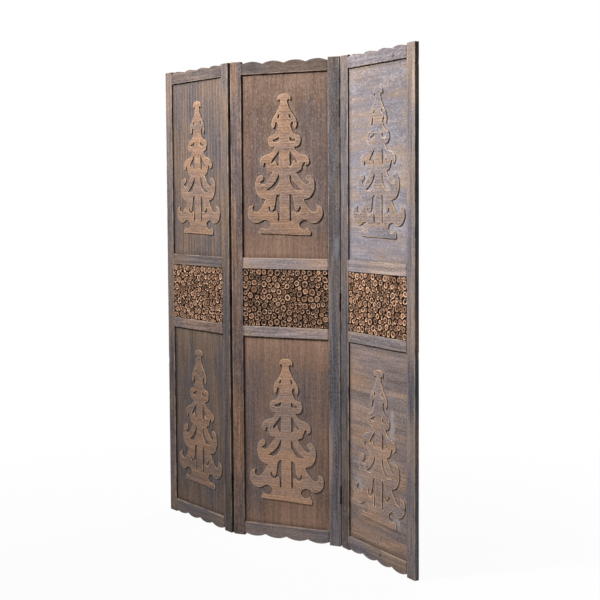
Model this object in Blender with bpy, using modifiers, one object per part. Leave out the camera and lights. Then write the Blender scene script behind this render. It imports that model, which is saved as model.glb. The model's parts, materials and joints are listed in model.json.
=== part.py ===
"""A folding room divider screen of three hinged wooden panels.

Metres, +Z up. The screen stands on z = 0, and the origin is under the middle of the box around it. The
middle panel runs along X with its front facing -Y. The left panel is folded back from it, and the right panel
forward.
"""

import math

import bmesh
import bpy
from mathutils import Matrix, Vector

OBJECT_NAME = "folding_room_divider_screen"
MM = 0.001

# The whole screen.
SCREEN_HEIGHT = 1.800
PANEL_WIDTH = 0.440
PANEL_THICKNESS = 0.018
LEFT_FOLD = math.radians(28.3)  # the turn of each side panel away from lying flat
RIGHT_FOLD = math.radians(35.2)

# The frame of one panel. Heights are above the floor.
STILE_WIDTH = 0.045
TOP_RAIL_BOTTOM = 1.751
UPPER_RAIL_TOP = 1.065
UPPER_RAIL_BOTTOM = 1.024
LOWER_RAIL_TOP = 0.807
LOWER_RAIL_BOTTOM = 0.768
BOTTOM_RAIL_TOP = 0.053
SCALLOP_COUNT = 4
SCALLOP_RISE = 0.010
SCALLOP_INSET = 0.002  # from a stile's end to the crown of a scallop
SCALLOP_FACETS = 6

# The joinery: one groove down each stile takes the rails' stub tenons and the edges of the boards.
FIT_GAP = 0.0003
GROOVE_FRONT = 0.0072  # behind the panel's front
GROOVE_WIDTH = 0.0046
STILE_GROOVE_DEPTH = 0.010
RAIL_GROOVE_DEPTH = 0.006
STILE_GROOVE_STOP = 0.016  # the groove ends short of the stile's ends
CUT_MARGIN = 0.002  # how far a cutter runs past what it cuts
WELD_DISTANCE = 0.000001
FLAT_ANGLE = math.radians(0.5)  # faces that meet flatter than this become one
SHARP_EDGE_ANGLE = math.radians(50)  # round pieces are shaded smooth across anything flatter

# The fretwork trees and the band of twig slices.
TREE_THICKNESS = 0.0045
UPPER_TREE_RISE = 0.082  # from the rail below to the tree's foot
LOWER_TREE_RISE = 0.091
LOWER_TREE_STRETCH = 1.038  # the lower opening is taller, and so is its tree
TREE_SHIFTS = {  # how far across and up a tree was glued from where it belongs
    "left_panel_upper_tree": (0.005, 0.0),
    "middle_panel_upper_tree": (0.0, 0.004),
    "right_panel_upper_tree": (0.008, 0.0),
    "right_panel_lower_tree": (0.007, 0.0),
}
TREE_FACET_TURN = math.radians(48)  # the bend that one straight facet stands for
TWIG_DEPTH = 0.0069
TWIG_EDGE_GAP = 0.0006

# The butt hinges, screwed to the end faces of the stiles.
HINGE_GAP = 0.004  # between two flat panels
HINGE_HEIGHT = 0.064
HINGE_PLACES = ("top", "middle", "bottom")
HINGE_DROPS = (0.186, 0.891, 1.606)  # from the screen's top to a hinge's middle
PIN_STANDOFF = 0.003  # from the panel's face to the pin's axis
PIN_RADIUS = 0.0014
PIN_HEAD_RADIUS = 0.0026
PIN_HEAD_HEIGHT = 0.0016
BORE_RADIUS = 0.0017
BARREL_RADIUS = 0.003
BARREL_SIDES = 10
BORE_SIDES = 8
KNUCKLE_COUNT = 5
KNUCKLE_GAP = 0.0004
LEAF_THICKNESS = 0.0015
LEAF_REACH = 0.0145  # how far a leaf runs across the end face
LEAF_AIR = 0.0003  # from the middle of the gap to a leaf
SCREW_SPACING = 0.023
SCREW_HOLE_RADIUS = 0.0018
SCREW_SINK_RADIUS = 0.0032
SCREW_HOLE_SIDES = 8

# Colours, as linear red, green and blue.
FRAME_COLOUR = (0.18, 0.135, 0.11)
BOARD_COLOUR = (0.16, 0.105, 0.08)
TREE_COLOUR = (0.29, 0.19, 0.135)
TWIG_COLOUR = (0.27, 0.15, 0.085)
METAL_COLOUR = (0.03, 0.028, 0.022)

INNER_LEFT = STILE_WIDTH
INNER_RIGHT = PANEL_WIDTH - STILE_WIDTH
GROOVE_BACK = GROOVE_FRONT + GROOVE_WIDTH
HALF_PANEL_GAP = HINGE_GAP / 2

# One half of the tree, in millimetres across from its middle and up from its foot, from the tip round the
# right-hand side. The outline is a smooth curve through the places, with a cusp at each one marked SHARP.
SMOOTH = False
SHARP = True

TREE_SIDE = [
    # The cap, with a curl at its end.
    (0, 524, SHARP), (15, 522, SMOOTH), (25, 512, SMOOTH), (24, 500, SHARP), (18, 503, SMOOTH),
    (14, 497, SMOOTH),
    # The cone, ending in a hook that hangs down.
    (16, 483, SMOOTH), (26, 462, SMOOTH), (46, 432, SMOOTH), (51, 413, SMOOTH), (44, 396, SMOOTH),
    (38, 405, SMOOTH), (33, 419, SMOOTH), (26, 412, SMOOTH), (29, 392, SMOOTH), (44, 373, SMOOTH),
    # The rounded second tier.
    (59, 369, SMOOTH), (66, 350, SMOOTH), (56, 330, SMOOTH), (39, 326, SHARP),
    # The third tier, with a hook that hangs down.
    (53, 307, SMOOTH), (84, 296, SMOOTH), (99, 281, SMOOTH), (97, 262, SMOOTH), (85, 256, SHARP),
    (81, 270, SMOOTH), (72, 259, SMOOTH), (65, 241, SMOOTH), (47, 233, SHARP),
    # The fourth tier, with a curl that stands up.
    (62, 212, SMOOTH), (88, 189, SMOOTH), (99, 197, SMOOTH), (88, 206, SMOOTH), (88, 221, SMOOTH),
    (104, 222, SMOOTH), (119, 200, SMOOTH), (117, 163, SMOOTH), (99, 139, SMOOTH), (77, 133, SHARP),
    # The fifth and widest tier, with an end that stands up.
    (93, 106, SMOOTH), (118, 86, SMOOTH), (132, 97, SMOOTH), (127, 113, SHARP), (146, 105, SMOOTH),
    (152, 80, SMOOTH), (139, 54, SMOOTH), (114, 45, SMOOTH),
    # The notch above the foot.
    (80, 57, SMOOTH), (59, 42, SMOOTH), (74, 21, SMOOTH), (96, 29, SHARP), (105, 13, SMOOTH),
    (103, 0, SHARP),
]

TREE_HOLES = [
    # A slit beside the first hook.
    [(19, 449, SHARP), (25, 444, SMOOTH), (26, 432, SMOOTH), (20, 437, SMOOTH)],
    # The three-cornered hole of the second tier.
    [(21, 367, SHARP), (32, 358, SMOOTH), (46, 353, SMOOTH), (40, 346, SMOOTH), (21, 350, SHARP)],
    # The slot of the third tier, with a bud in its floor.
    [
        (21, 315, SHARP), (44, 287, SMOOTH), (53, 269, SMOOTH), (47, 268, SMOOTH), (39, 277, SMOOTH),
        (31, 265, SMOOTH), (27, 257, SHARP), (21, 257, SHARP),
    ],
    # The crescent of the fourth tier.
    [
        (22, 230, SHARP), (36, 201, SMOOTH), (55, 182, SMOOTH), (76, 168, SHARP), (48, 167, SMOOTH),
        (29, 186, SMOOTH), (20, 210, SMOOTH),
    ],
    # The tall slot of the fifth tier, with a hook beside it.
    [
        (20, 153, SHARP), (32, 148, SMOOTH), (39, 116, SMOOTH), (48, 93, SMOOTH), (58, 98, SMOOTH),
        (62, 107, SMOOTH), (64, 92, SMOOTH), (50, 82, SMOOTH), (34, 91, SMOOTH), (28, 52, SHARP),
        (20, 52, SHARP),
    ],
]


def clear_scene():
    for obj in list(bpy.data.objects):
        bpy.data.objects.remove(obj)


def painted(name, colour, roughness, metallic=0.0):
    material = bpy.data.materials.new(name)
    material.use_nodes = True
    surface = material.node_tree.nodes["Principled BSDF"]
    surface.inputs["Base Color"].default_value = (*colour, 1.0)
    surface.inputs["Roughness"].default_value = roughness
    surface.inputs["Metallic"].default_value = metallic
    return material


# Simple solids, each returned as a mesh.


def mesh_from(shape, name):
    mesh = bpy.data.meshes.new(name)
    bmesh.ops.recalc_face_normals(shape, faces=shape.faces)
    shape.to_mesh(mesh)
    shape.free()
    return mesh


def box(low, high):
    """A box between two opposite corners."""
    low, high = Vector(low), Vector(high)
    shape = bmesh.new()
    stretch = Matrix.Diagonal((*(high - low), 1.0))
    bmesh.ops.create_cube(shape, size=1.0, matrix=Matrix.Translation((low + high) / 2) @ stretch)
    return mesh_from(shape, "box")


def rod(start, end, start_radius, end_radius, sides):
    """A round or tapered rod between two points."""
    start, end = Vector(start), Vector(end)
    turn = (end - start).to_track_quat("Z", "Y").to_matrix().to_4x4()
    shape = bmesh.new()
    bmesh.ops.create_cone(
        shape,
        cap_ends=True,
        segments=sides,
        radius1=start_radius,
        radius2=end_radius,
        depth=(end - start).length,
        matrix=Matrix.Translation((start + end) / 2) @ turn,
    )
    return mesh_from(shape, "rod")


def evaluated_mesh(obj):
    """The object's mesh with its modifiers and curves worked out. The object is removed."""
    graph = bpy.context.evaluated_depsgraph_get()
    mesh = bpy.data.meshes.new_from_object(obj.evaluated_get(graph))
    bpy.data.objects.remove(obj)
    return mesh


def combined(body, tool, operation):
    """The body with the tool joined to it (UNION) or cut from it (DIFFERENCE)."""
    body_object = bpy.data.objects.new("body", body)
    tool_object = bpy.data.objects.new("tool", tool)
    bpy.context.scene.collection.objects.link(body_object)
    bpy.context.scene.collection.objects.link(tool_object)
    modifier = body_object.modifiers.new(operation.title(), "BOOLEAN")
    modifier.operation = operation
    modifier.object = tool_object
    result = evaluated_mesh(body_object)
    bpy.data.objects.remove(tool_object)
    return result


def rounded(mesh):
    """The mesh with its round faces shaded smooth and its edges kept sharp."""
    mesh.shade_smooth()
    mesh.set_sharp_from_angle(angle=SHARP_EDGE_ANGLE)
    return mesh


def plate(loops, thickness, centre_depth):
    """An upright plate cut to closed loops of (across, up) points, its middle this deep behind the front."""
    curve = bpy.data.curves.new("outline", "CURVE")
    curve.dimensions = "2D"
    curve.fill_mode = "BOTH"
    curve.extrude = thickness / 2
    for loop in loops:
        spline = curve.splines.new("POLY")
        spline.points.add(len(loop) - 1)
        for point, (across, up) in zip(spline.points, loop):
            point.co = (across, up, 0.0, 1.0)
        spline.use_cyclic_u = True
    outline = bpy.data.objects.new("outline", curve)
    bpy.context.scene.collection.objects.link(outline)
    shape = bmesh.new()
    shape.from_mesh(evaluated_mesh(outline))
    bmesh.ops.remove_doubles(shape, verts=shape.verts, dist=WELD_DISTANCE)
    bmesh.ops.dissolve_degenerate(shape, edges=shape.edges, dist=WELD_DISTANCE)
    bmesh.ops.dissolve_limit(shape, angle_limit=FLAT_ANGLE, verts=shape.verts, edges=shape.edges)
    stand_up = Matrix.Translation((0.0, centre_depth, 0.0)) @ Matrix.Rotation(math.pi / 2, 4, "X")
    shape.transform(stand_up)
    return mesh_from(shape, "plate")


# Outlines.


def span_points(start, end, leaving, arriving):
    """Points from start up to, but not with, end, along a curve with these directions at its ends."""
    chord = end - start
    bend = leaving.angle(chord) + chord.angle(arriving)
    steps = max(1, math.ceil(bend / TREE_FACET_TURN))
    points = []
    for step in range(steps):
        along = step / steps
        end_share = along * along * (3 - 2 * along)
        start_pull = along * (1 - along) ** 2 * chord.length
        end_pull = along * along * (1 - along) * chord.length
        points.append(start + chord * end_share + leaving * start_pull - arriving * end_pull)
    return points


def smooth_path(places, closed):
    """Points along the smooth curve through (across, up, sharp) places in millimetres, in metres."""
    count = len(places)
    spots = [Vector((across, up)) * MM for across, up, sharp in places]
    is_sharp = [sharp for across, up, sharp in places]
    path = []
    for index in range(count if closed else count - 1):
        here, there = spots[index], spots[(index + 1) % count]
        forward = (there - here).normalized()
        leaving, arriving = forward, forward
        if not is_sharp[index]:
            leaving = (forward + (here - spots[index - 1]).normalized()).normalized()
        if not is_sharp[(index + 1) % count]:
            beyond = spots[(index + 2) % count]
            arriving = (forward + (beyond - there).normalized()).normalized()
        path += span_points(here, there, leaving, arriving)
    if not closed:
        path.append(spots[-1])
    return path


def mirrored(path):
    return [Vector((-point.x, point.y)) for point in reversed(path)]


def stretched(path, stretch, across, up):
    """The path made taller by the stretch, then moved."""
    return [Vector((point.x + across, point.y * stretch + up)) for point in path]


def scalloped_edge(left, right, cusp_height):
    """Points from left to right along equal arcs that stand on the cusp height."""
    chord = (right - left) / SCALLOP_COUNT
    radius = (chord**2 / 4 + SCALLOP_RISE**2) / (2 * SCALLOP_RISE)
    half_angle = math.asin(chord / 2 / radius)
    edge = []
    for scallop in range(SCALLOP_COUNT):
        middle = left + chord * (scallop + 0.5)
        for facet in range(SCALLOP_FACETS):
            angle = half_angle * (2 * facet / SCALLOP_FACETS - 1)
            lift = radius * (math.cos(angle) - math.cos(half_angle))
            edge.append(Vector((middle + radius * math.sin(angle), cusp_height + lift)))
    edge.append(Vector((right, cusp_height)))
    return edge


# The wooden pieces of one panel. Across is from its left edge, depth from its front, height from the floor.


def stile(outer, inner):
    """An upright from its outer edge to its inner one, grooved down the inner edge."""
    toward_middle = math.copysign(1.0, inner - outer)
    blank = box(
        (min(outer, inner), 0.0, 0.0),
        (max(outer, inner), PANEL_THICKNESS, SCREEN_HEIGHT),
    )
    groove_floor = inner - toward_middle * STILE_GROOVE_DEPTH
    groove_mouth = inner + toward_middle * CUT_MARGIN
    groove = box(
        (min(groove_floor, groove_mouth), GROOVE_FRONT, STILE_GROOVE_STOP),
        (max(groove_floor, groove_mouth), GROOVE_BACK, SCREEN_HEIGHT - STILE_GROOVE_STOP),
    )
    return combined(blank, groove, "DIFFERENCE")


def rail_groove(low, high):
    """A cutter for the board's groove, along the whole rail and its tenons."""
    return box(
        (INNER_LEFT - STILE_GROOVE_DEPTH - CUT_MARGIN, GROOVE_FRONT, low),
        (INNER_RIGHT + STILE_GROOVE_DEPTH + CUT_MARGIN, GROOVE_BACK, high),
    )


def rail(height, scalloped):
    """A rail that lies on z = 0, with a stub tenon at each end. A scalloped one is this high at its cusps."""
    left = INNER_LEFT + FIT_GAP
    right = INNER_RIGHT - FIT_GAP
    if scalloped:
        loop = scalloped_edge(left, right, height) + [Vector((right, 0.0)), Vector((left, 0.0))]
        body = plate([loop], PANEL_THICKNESS, PANEL_THICKNESS / 2)
        tenon_top = height - STILE_GROOVE_STOP + SCALLOP_INSET + SCALLOP_RISE - FIT_GAP
    else:
        body = box((left, 0.0, 0.0), (right, PANEL_THICKNESS, height))
        tenon_top = height
    tenon_reach = STILE_GROOVE_DEPTH - FIT_GAP
    tenon = box(
        (INNER_LEFT - tenon_reach, GROOVE_FRONT + FIT_GAP, 0.0),
        (INNER_RIGHT + tenon_reach, GROOVE_BACK - FIT_GAP, tenon_top),
    )
    body = combined(body, tenon, "UNION")
    body = combined(body, rail_groove(-CUT_MARGIN, RAIL_GROOVE_DEPTH), "DIFFERENCE")
    if not scalloped:
        body = combined(body, rail_groove(height - RAIL_GROOVE_DEPTH, height + CUT_MARGIN), "DIFFERENCE")
    return body


def raised(mesh, height):
    mesh.transform(Matrix.Translation((0.0, 0.0, height)))
    return mesh


def hung_below(mesh, height):
    """The rail turned upside down, with its straight edge at the height."""
    mesh.transform(Matrix.Translation((PANEL_WIDTH, 0.0, height)) @ Matrix.Rotation(math.pi, 4, "Y"))
    return mesh


def board(bottom, top):
    """A thin board that fills the opening between two rails, its edges held in their grooves."""
    tuck = RAIL_GROOVE_DEPTH - FIT_GAP
    side_tuck = STILE_GROOVE_DEPTH - FIT_GAP
    return box(
        (INNER_LEFT - side_tuck, GROOVE_FRONT + FIT_GAP, bottom - tuck),
        (INNER_RIGHT + side_tuck, GROOVE_BACK - FIT_GAP, top + tuck),
    )


def tree(foot, stretch):
    """A fretwork tree that lies on the front of a board, with its foot at this height."""
    side = smooth_path(TREE_SIDE, closed=False)
    loops = [side + mirrored(side[1:])]
    for places in TREE_HOLES:
        hole = smooth_path(places, closed=True)
        loops += [hole, mirrored(hole)]
    placed = [stretched(loop, stretch, PANEL_WIDTH / 2, foot) for loop in loops]
    return plate(placed, TREE_THICKNESS, GROOVE_FRONT - TREE_THICKNESS / 2)


def twig_infill():
    """The layer of twig slices, as one solid slab."""
    return box(
        (INNER_LEFT + TWIG_EDGE_GAP, 0.0, LOWER_RAIL_TOP + TWIG_EDGE_GAP),
        (INNER_RIGHT - TWIG_EDGE_GAP, TWIG_DEPTH, UPPER_RAIL_BOTTOM - TWIG_EDGE_GAP),
    )


def panel_pieces():
    """The pieces of one panel, as name, mesh and material."""
    frame = painted("weathered_frame_wood", FRAME_COLOUR, 0.75)
    boards = painted("weathered_board_wood", BOARD_COLOUR, 0.8)
    fretwork = painted("fretwork_wood", TREE_COLOUR, 0.7)
    twigs = painted("twig_slices", TWIG_COLOUR, 0.8)
    scallop_depth = SCALLOP_INSET + SCALLOP_RISE
    top_rail = rail(SCREEN_HEIGHT - scallop_depth - TOP_RAIL_BOTTOM, True)
    upper_mid_rail = rail(UPPER_RAIL_TOP - UPPER_RAIL_BOTTOM, False)
    lower_mid_rail = rail(LOWER_RAIL_TOP - LOWER_RAIL_BOTTOM, False)
    bottom_rail = rail(BOTTOM_RAIL_TOP - scallop_depth, True)
    return [
        ("left_stile", stile(0.0, STILE_WIDTH), frame),
        ("right_stile", stile(PANEL_WIDTH, INNER_RIGHT), frame),
        ("top_rail", raised(top_rail, TOP_RAIL_BOTTOM), frame),
        ("upper_mid_rail", raised(upper_mid_rail, UPPER_RAIL_BOTTOM), frame),
        ("lower_mid_rail", raised(lower_mid_rail, LOWER_RAIL_BOTTOM), frame),
        ("bottom_rail", hung_below(bottom_rail, BOTTOM_RAIL_TOP), frame),
        ("upper_board", board(UPPER_RAIL_TOP, TOP_RAIL_BOTTOM), boards),
        ("lower_board", board(BOTTOM_RAIL_TOP, LOWER_RAIL_BOTTOM), boards),
        ("twig_backing_board", board(LOWER_RAIL_TOP, UPPER_RAIL_BOTTOM), boards),
        ("twig_infill", twig_infill(), twigs),
        ("upper_tree", tree(UPPER_RAIL_TOP + UPPER_TREE_RISE, 1.0), fretwork),
        ("lower_tree", tree(BOTTOM_RAIL_TOP + LOWER_TREE_RISE, LOWER_TREE_STRETCH), fretwork),
    ]


# The hinge, with its pin along Z at the origin. The stiles' end faces are at each side of it, toward -Y.


def knuckle_span(knuckle):
    """The bottom and top of one knuckle of the barrel."""
    pitch = (HINGE_HEIGHT + KNUCKLE_GAP) / KNUCKLE_COUNT
    bottom = pitch * knuckle - HINGE_HEIGHT / 2
    return bottom, bottom + pitch - KNUCKLE_GAP


def hinge_leaf(knuckles):
    """The leaf on the +X side, which carries these knuckles of the barrel."""
    inner_face = LEAF_AIR
    outer_face = LEAF_AIR + LEAF_THICKNESS
    far_edge = -PIN_STANDOFF - LEAF_REACH
    near_edge = -BARREL_RADIUS - KNUCKLE_GAP
    half_height = HINGE_HEIGHT / 2
    leaf = box((inner_face, far_edge, -half_height), (outer_face, near_edge, half_height))
    for knuckle in knuckles:
        bottom, top = knuckle_span(knuckle)
        tab = box((inner_face, near_edge - LEAF_THICKNESS, bottom), (outer_face, -BORE_RADIUS, top))
        barrel = rod((0.0, 0.0, bottom), (0.0, 0.0, top), BARREL_RADIUS, BARREL_RADIUS, BARREL_SIDES)
        leaf = combined(leaf, combined(tab, barrel, "UNION"), "UNION")
    bore = rod((0.0, 0.0, -HINGE_HEIGHT), (0.0, 0.0, HINGE_HEIGHT), BORE_RADIUS, BORE_RADIUS, BORE_SIDES)
    leaf = combined(leaf, bore, "DIFFERENCE")
    middle = (far_edge + near_edge) / 2
    flare = SCREW_SINK_RADIUS - SCREW_HOLE_RADIUS  # the countersink widens this much over the thickness
    for row in (-1, 0, 1):
        height = row * SCREW_SPACING
        sink = rod(
            (inner_face - LEAF_THICKNESS, middle, height),
            (outer_face + LEAF_THICKNESS / 2, middle, height),
            SCREW_SINK_RADIUS + flare,
            SCREW_HOLE_RADIUS - flare / 2,
            SCREW_HOLE_SIDES,
        )
        leaf = combined(leaf, sink, "DIFFERENCE")
    return leaf


def hinge_pin():
    """A pin with a button head at each end, turned about Z."""
    shank_end = HINGE_HEIGHT / 2 + FIT_GAP
    head_end = shank_end + PIN_HEAD_HEIGHT
    profile = [
        (0.0, head_end),
        (PIN_HEAD_RADIUS, head_end),
        (PIN_HEAD_RADIUS, shank_end),
        (PIN_RADIUS, shank_end),
        (PIN_RADIUS, -shank_end),
        (PIN_HEAD_RADIUS, -shank_end),
        (PIN_HEAD_RADIUS, -head_end),
        (0.0, -head_end),
    ]
    mesh = bpy.data.meshes.new("pin_profile")
    points = [(radius, 0.0, height) for radius, height in profile]
    mesh.from_pydata(points, [(index, index + 1) for index in range(len(points) - 1)], [])
    turned = bpy.data.objects.new("pin_profile", mesh)
    bpy.context.scene.collection.objects.link(turned)
    screw = turned.modifiers.new("Screw", "SCREW")
    screw.axis = "Z"
    screw.steps = BORE_SIDES
    screw.render_steps = BORE_SIDES
    screw.use_merge_vertices = True
    screw.merge_threshold = WELD_DISTANCE
    return evaluated_mesh(turned)


def hinge_pieces():
    """The fixed leaf, the moving leaf and the pin of one hinge. The moving leaf is turned to the -X side."""
    fixed_leaf = hinge_leaf(range(0, KNUCKLE_COUNT, 2))
    moving_leaf = hinge_leaf(range(1, KNUCKLE_COUNT, 2))
    moving_leaf.transform(Matrix.Rotation(math.pi, 4, "Y"))
    return rounded(fixed_leaf), rounded(moving_leaf), rounded(hinge_pin())


# The assembly.


def turned_back(point, fold):
    """The point turned by the fold about Z, clockwise seen from above."""
    return Matrix.Rotation(-fold, 3, "Z") @ Vector(point)


def footprint_centre(side_panels):
    """The middle, seen from above, of the box around the three panels, from the middle panel's corner."""
    corners = [(across, depth, 0.0) for across in (0.0, PANEL_WIDTH) for depth in (0.0, PANEL_THICKNESS)]
    spots = [Vector(corner) for corner in corners]
    for axis, panel_corner, fold in side_panels:
        start = Vector(panel_corner)
        spots += [Vector(axis) + turned_back(start + Vector(corner), fold) for corner in corners]
    middle_x = (min(spot.x for spot in spots) + max(spot.x for spot in spots)) / 2
    middle_y = (min(spot.y for spot in spots) + max(spot.y for spot in spots)) / 2
    return Vector((middle_x, middle_y, 0.0))


def pivot(name, location, fold, parent, collection):
    """An empty that carries the pieces of one panel."""
    empty = bpy.data.objects.new(name, None)
    empty.location = location
    empty.rotation_euler = (0.0, 0.0, -fold)
    empty.parent = parent
    collection.objects.link(empty)
    return empty


def add_piece(name, mesh, material, parent, location, turn, collection):
    piece = bpy.data.objects.new(name, mesh)
    piece.location = location
    piece.rotation_euler = (0.0, 0.0, turn)
    piece.parent = parent
    collection.objects.link(piece)
    piece.data.materials.clear()
    piece.data.materials.append(material)


def add_panels(carriers, collection):
    """The three panels. A carrier is a panel's side, its empty and its corner as seen from that empty."""
    for name, mesh, material in panel_pieces():
        for side, carrier, corner in carriers:
            full_name = f"{side}_panel_{name}"
            across, up = TREE_SHIFTS.get(full_name, (0.0, 0.0))
            location = Vector(corner) + Vector((across, 0.0, up))
            add_piece(full_name, mesh, material, carrier, location, 0.0, collection)


def add_hinges(side, turn, axis, middle, carrier, collection):
    """Three hinges on one fold axis. The turn is a half turn where the pins are at the front."""
    metal = painted("dark_bronze", METAL_COLOUR, 0.45, metallic=0.8)
    fixed_leaf, moving_leaf, pin = hinge_pieces()
    for place, drop in zip(HINGE_PLACES, HINGE_DROPS):
        prefix = f"{side}_{place}_hinge"
        on_carrier = Vector((0.0, 0.0, SCREEN_HEIGHT - drop))
        on_middle = on_carrier + Vector(axis)
        add_piece(f"{prefix}_fixed_leaf", fixed_leaf, metal, middle, on_middle, turn, collection)
        add_piece(f"{prefix}_pin", pin, metal, middle, on_middle, turn, collection)
        add_piece(f"{prefix}_moving_leaf", moving_leaf, metal, carrier, on_carrier, turn, collection)


def main():
    clear_scene()
    collection = bpy.data.collections.new(OBJECT_NAME)
    bpy.context.scene.collection.children.link(collection)

    # Each fold axis is seen from the middle panel's corner, and each side panel's corner from its axis.
    left_axis = (-HALF_PANEL_GAP, PANEL_THICKNESS + PIN_STANDOFF, 0.0)
    right_axis = (PANEL_WIDTH + HALF_PANEL_GAP, -PIN_STANDOFF, 0.0)
    left_corner = (-HALF_PANEL_GAP - PANEL_WIDTH, -PIN_STANDOFF - PANEL_THICKNESS, 0.0)
    right_corner = (HALF_PANEL_GAP, PIN_STANDOFF, 0.0)
    side_panels = [(left_axis, left_corner, LEFT_FOLD), (right_axis, right_corner, RIGHT_FOLD)]

    middle = pivot("middle_panel", -footprint_centre(side_panels), 0.0, None, collection)
    left = pivot("left_fold", left_axis, LEFT_FOLD, middle, collection)
    right = pivot("right_fold", right_axis, RIGHT_FOLD, middle, collection)

    carriers = [
        ("left", left, left_corner),
        ("middle", middle, (0.0, 0.0, 0.0)),
        ("right", right, right_corner),
    ]
    add_panels(carriers, collection)
    add_hinges("left", 0.0, left_axis, middle, left, collection)
    add_hinges("right", math.pi, right_axis, middle, right, collection)


main()
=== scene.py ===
"""The looks of the folding room divider screen: washed and worn wood, twig slices and bronze hinges.

A wooden piece is modelled in the coordinates of its own panel, in metres: across from the panel's left
edge, depth from its front and height from the floor. The panel's matrix then puts it in its place, so the
grain, which follows the piece's own coordinates, stays with the panel however the panel stands.
"""

import itertools
import json
import math

import bmesh
import bpy
import numpy as np
from mathutils import Matrix, Vector, noise


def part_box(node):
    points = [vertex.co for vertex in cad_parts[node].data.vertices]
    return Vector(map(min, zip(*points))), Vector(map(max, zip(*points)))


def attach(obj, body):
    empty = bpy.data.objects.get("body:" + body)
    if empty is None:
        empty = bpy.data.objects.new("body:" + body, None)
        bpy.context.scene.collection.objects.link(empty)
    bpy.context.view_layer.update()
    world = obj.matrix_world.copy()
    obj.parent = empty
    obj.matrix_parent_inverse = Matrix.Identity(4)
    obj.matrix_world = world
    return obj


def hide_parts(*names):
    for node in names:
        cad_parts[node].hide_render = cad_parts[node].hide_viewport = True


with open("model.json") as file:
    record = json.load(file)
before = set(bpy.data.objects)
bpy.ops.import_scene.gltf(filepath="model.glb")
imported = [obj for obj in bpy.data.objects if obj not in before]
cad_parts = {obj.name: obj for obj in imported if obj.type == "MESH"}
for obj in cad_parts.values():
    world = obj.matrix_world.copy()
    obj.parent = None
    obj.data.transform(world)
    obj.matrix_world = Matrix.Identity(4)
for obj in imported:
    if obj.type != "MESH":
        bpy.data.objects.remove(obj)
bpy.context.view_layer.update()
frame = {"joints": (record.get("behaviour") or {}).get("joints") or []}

MM = 0.001
SIDES = ("left", "middle", "right")


# What the frame gives: the middle panel stands square to the axes, so its boxes hold every panel's sizes.


def middle_box(piece):
    """The lowest and highest corner of a piece of the middle panel, in the panel's own coordinates."""
    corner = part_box("middle_panel_left_stile")[0]
    low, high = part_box(f"middle_panel_{piece}")
    return low - corner, high - corner


MIDDLE_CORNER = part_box("middle_panel_left_stile")[0]
STILE_WIDTH, PANEL_THICKNESS, SCREEN_HEIGHT = middle_box("left_stile")[1]
PANEL_WIDTH = middle_box("right_stile")[1].x
INNER_LEFT = STILE_WIDTH
INNER_RIGHT = PANEL_WIDTH - STILE_WIDTH
BOARD_FRONT, BOARD_BACK = (corner.y for corner in middle_box("upper_board"))
BOARD_MIDDLE = (BOARD_FRONT + BOARD_BACK) / 2
TREE_THICKNESS = middle_box("upper_tree")[1].y - middle_box("upper_tree")[0].y
TWIG_LOW, TWIG_HIGH = middle_box("twig_infill")

# The joinery, which repeats what the CAD cut.
FIT_GAP = 0.3 * MM
GROOVE_FRONT = BOARD_FRONT - FIT_GAP
GROOVE_BACK = BOARD_BACK + FIT_GAP
STILE_GROOVE_DEPTH = 10 * MM
RAIL_GROOVE_DEPTH = 6 * MM
STILE_GROOVE_STOP = 16 * MM
SCALLOP_COUNT = 4
SCALLOP_RISE = 10 * MM

# How the edges are eased and worn.
EASE = 1.5 * MM
EASE_SPREAD = 0.7 * MM
BOARD_EASE = 0.4 * MM
KNOCK_DEPTH = 7.0 * MM
KNOCK_THRESHOLD = 0.38
EDGE_FADE = 2.8 * MM  # the worn edge fades out over this much of the face
SHOULDER_EASE = 0.5 * MM
CORNER_STEPS = 4
FACE_WAVE = 0.22 * MM
NO_SLOT = 0.01 * MM  # a slot too shallow to see, so that every loop of a bar has the same points
WELD = 0.002 * MM  # points nearer than this are one
SCALLOP_STEPS = 22
FACE_SPACING = 8 * MM
END_WEAR = 0.8
TENON_DARKENING = 0.7  # on a rail's face where it meets a stile, fading out over TENON_DARKENING_REACH
TENON_DARKENING_REACH = 7 * MM
# Painted shade on a board's face along the frame, where the rails and stiles shade it.
BOARD_EDGE_SHADE = 0.5  # on a board's face along the frame, fading out over BOARD_EDGE_SHADE_REACH
BOARD_EDGE_SHADE_REACH = 16 * MM
# Painted shade on a stile's inner side, in the recess, and less on its outer side.
INNER_SIDE_SHADE = 0.85
OUTER_SIDE_SHADE = 0.22
SCALLOP_WEAR = 0.35  # as a share of a straight edge's wear
CREST_EASE = 0.9 * MM  # how much rounder the bottom rail's upper edge is worn
# The glue on the backing board's front, darkened to near black as painted shade in the gaps between the
# slices.
GLUE_AND_SHADE = 1.0  # on the face that the twig slices are glued to
END_REACH = 140 * MM  # how far the warmer ends of a board run in
HALO_REACH = 22 * MM  # how far the wash that gathered against a tree's edge spreads on the board

# Round shapes.
TREE_FACET_TURN = math.radians(10)
TREE_EASE = 1.5 * MM
TREE_EASE_STEPS = 4
TREE_WORN_RIM = 3.6 * MM  # from the edge to where the worn rim has faded out
TREE_WEAR = 0.9
# Painted shade on the tree's sawn sides.
TREE_SIDE_SHADE = 0.6
TREE_WELD = 0.005 * MM
TREE_HEIGHT = 524 * MM  # of the outline below, which the lower trees are a little taller than

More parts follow.
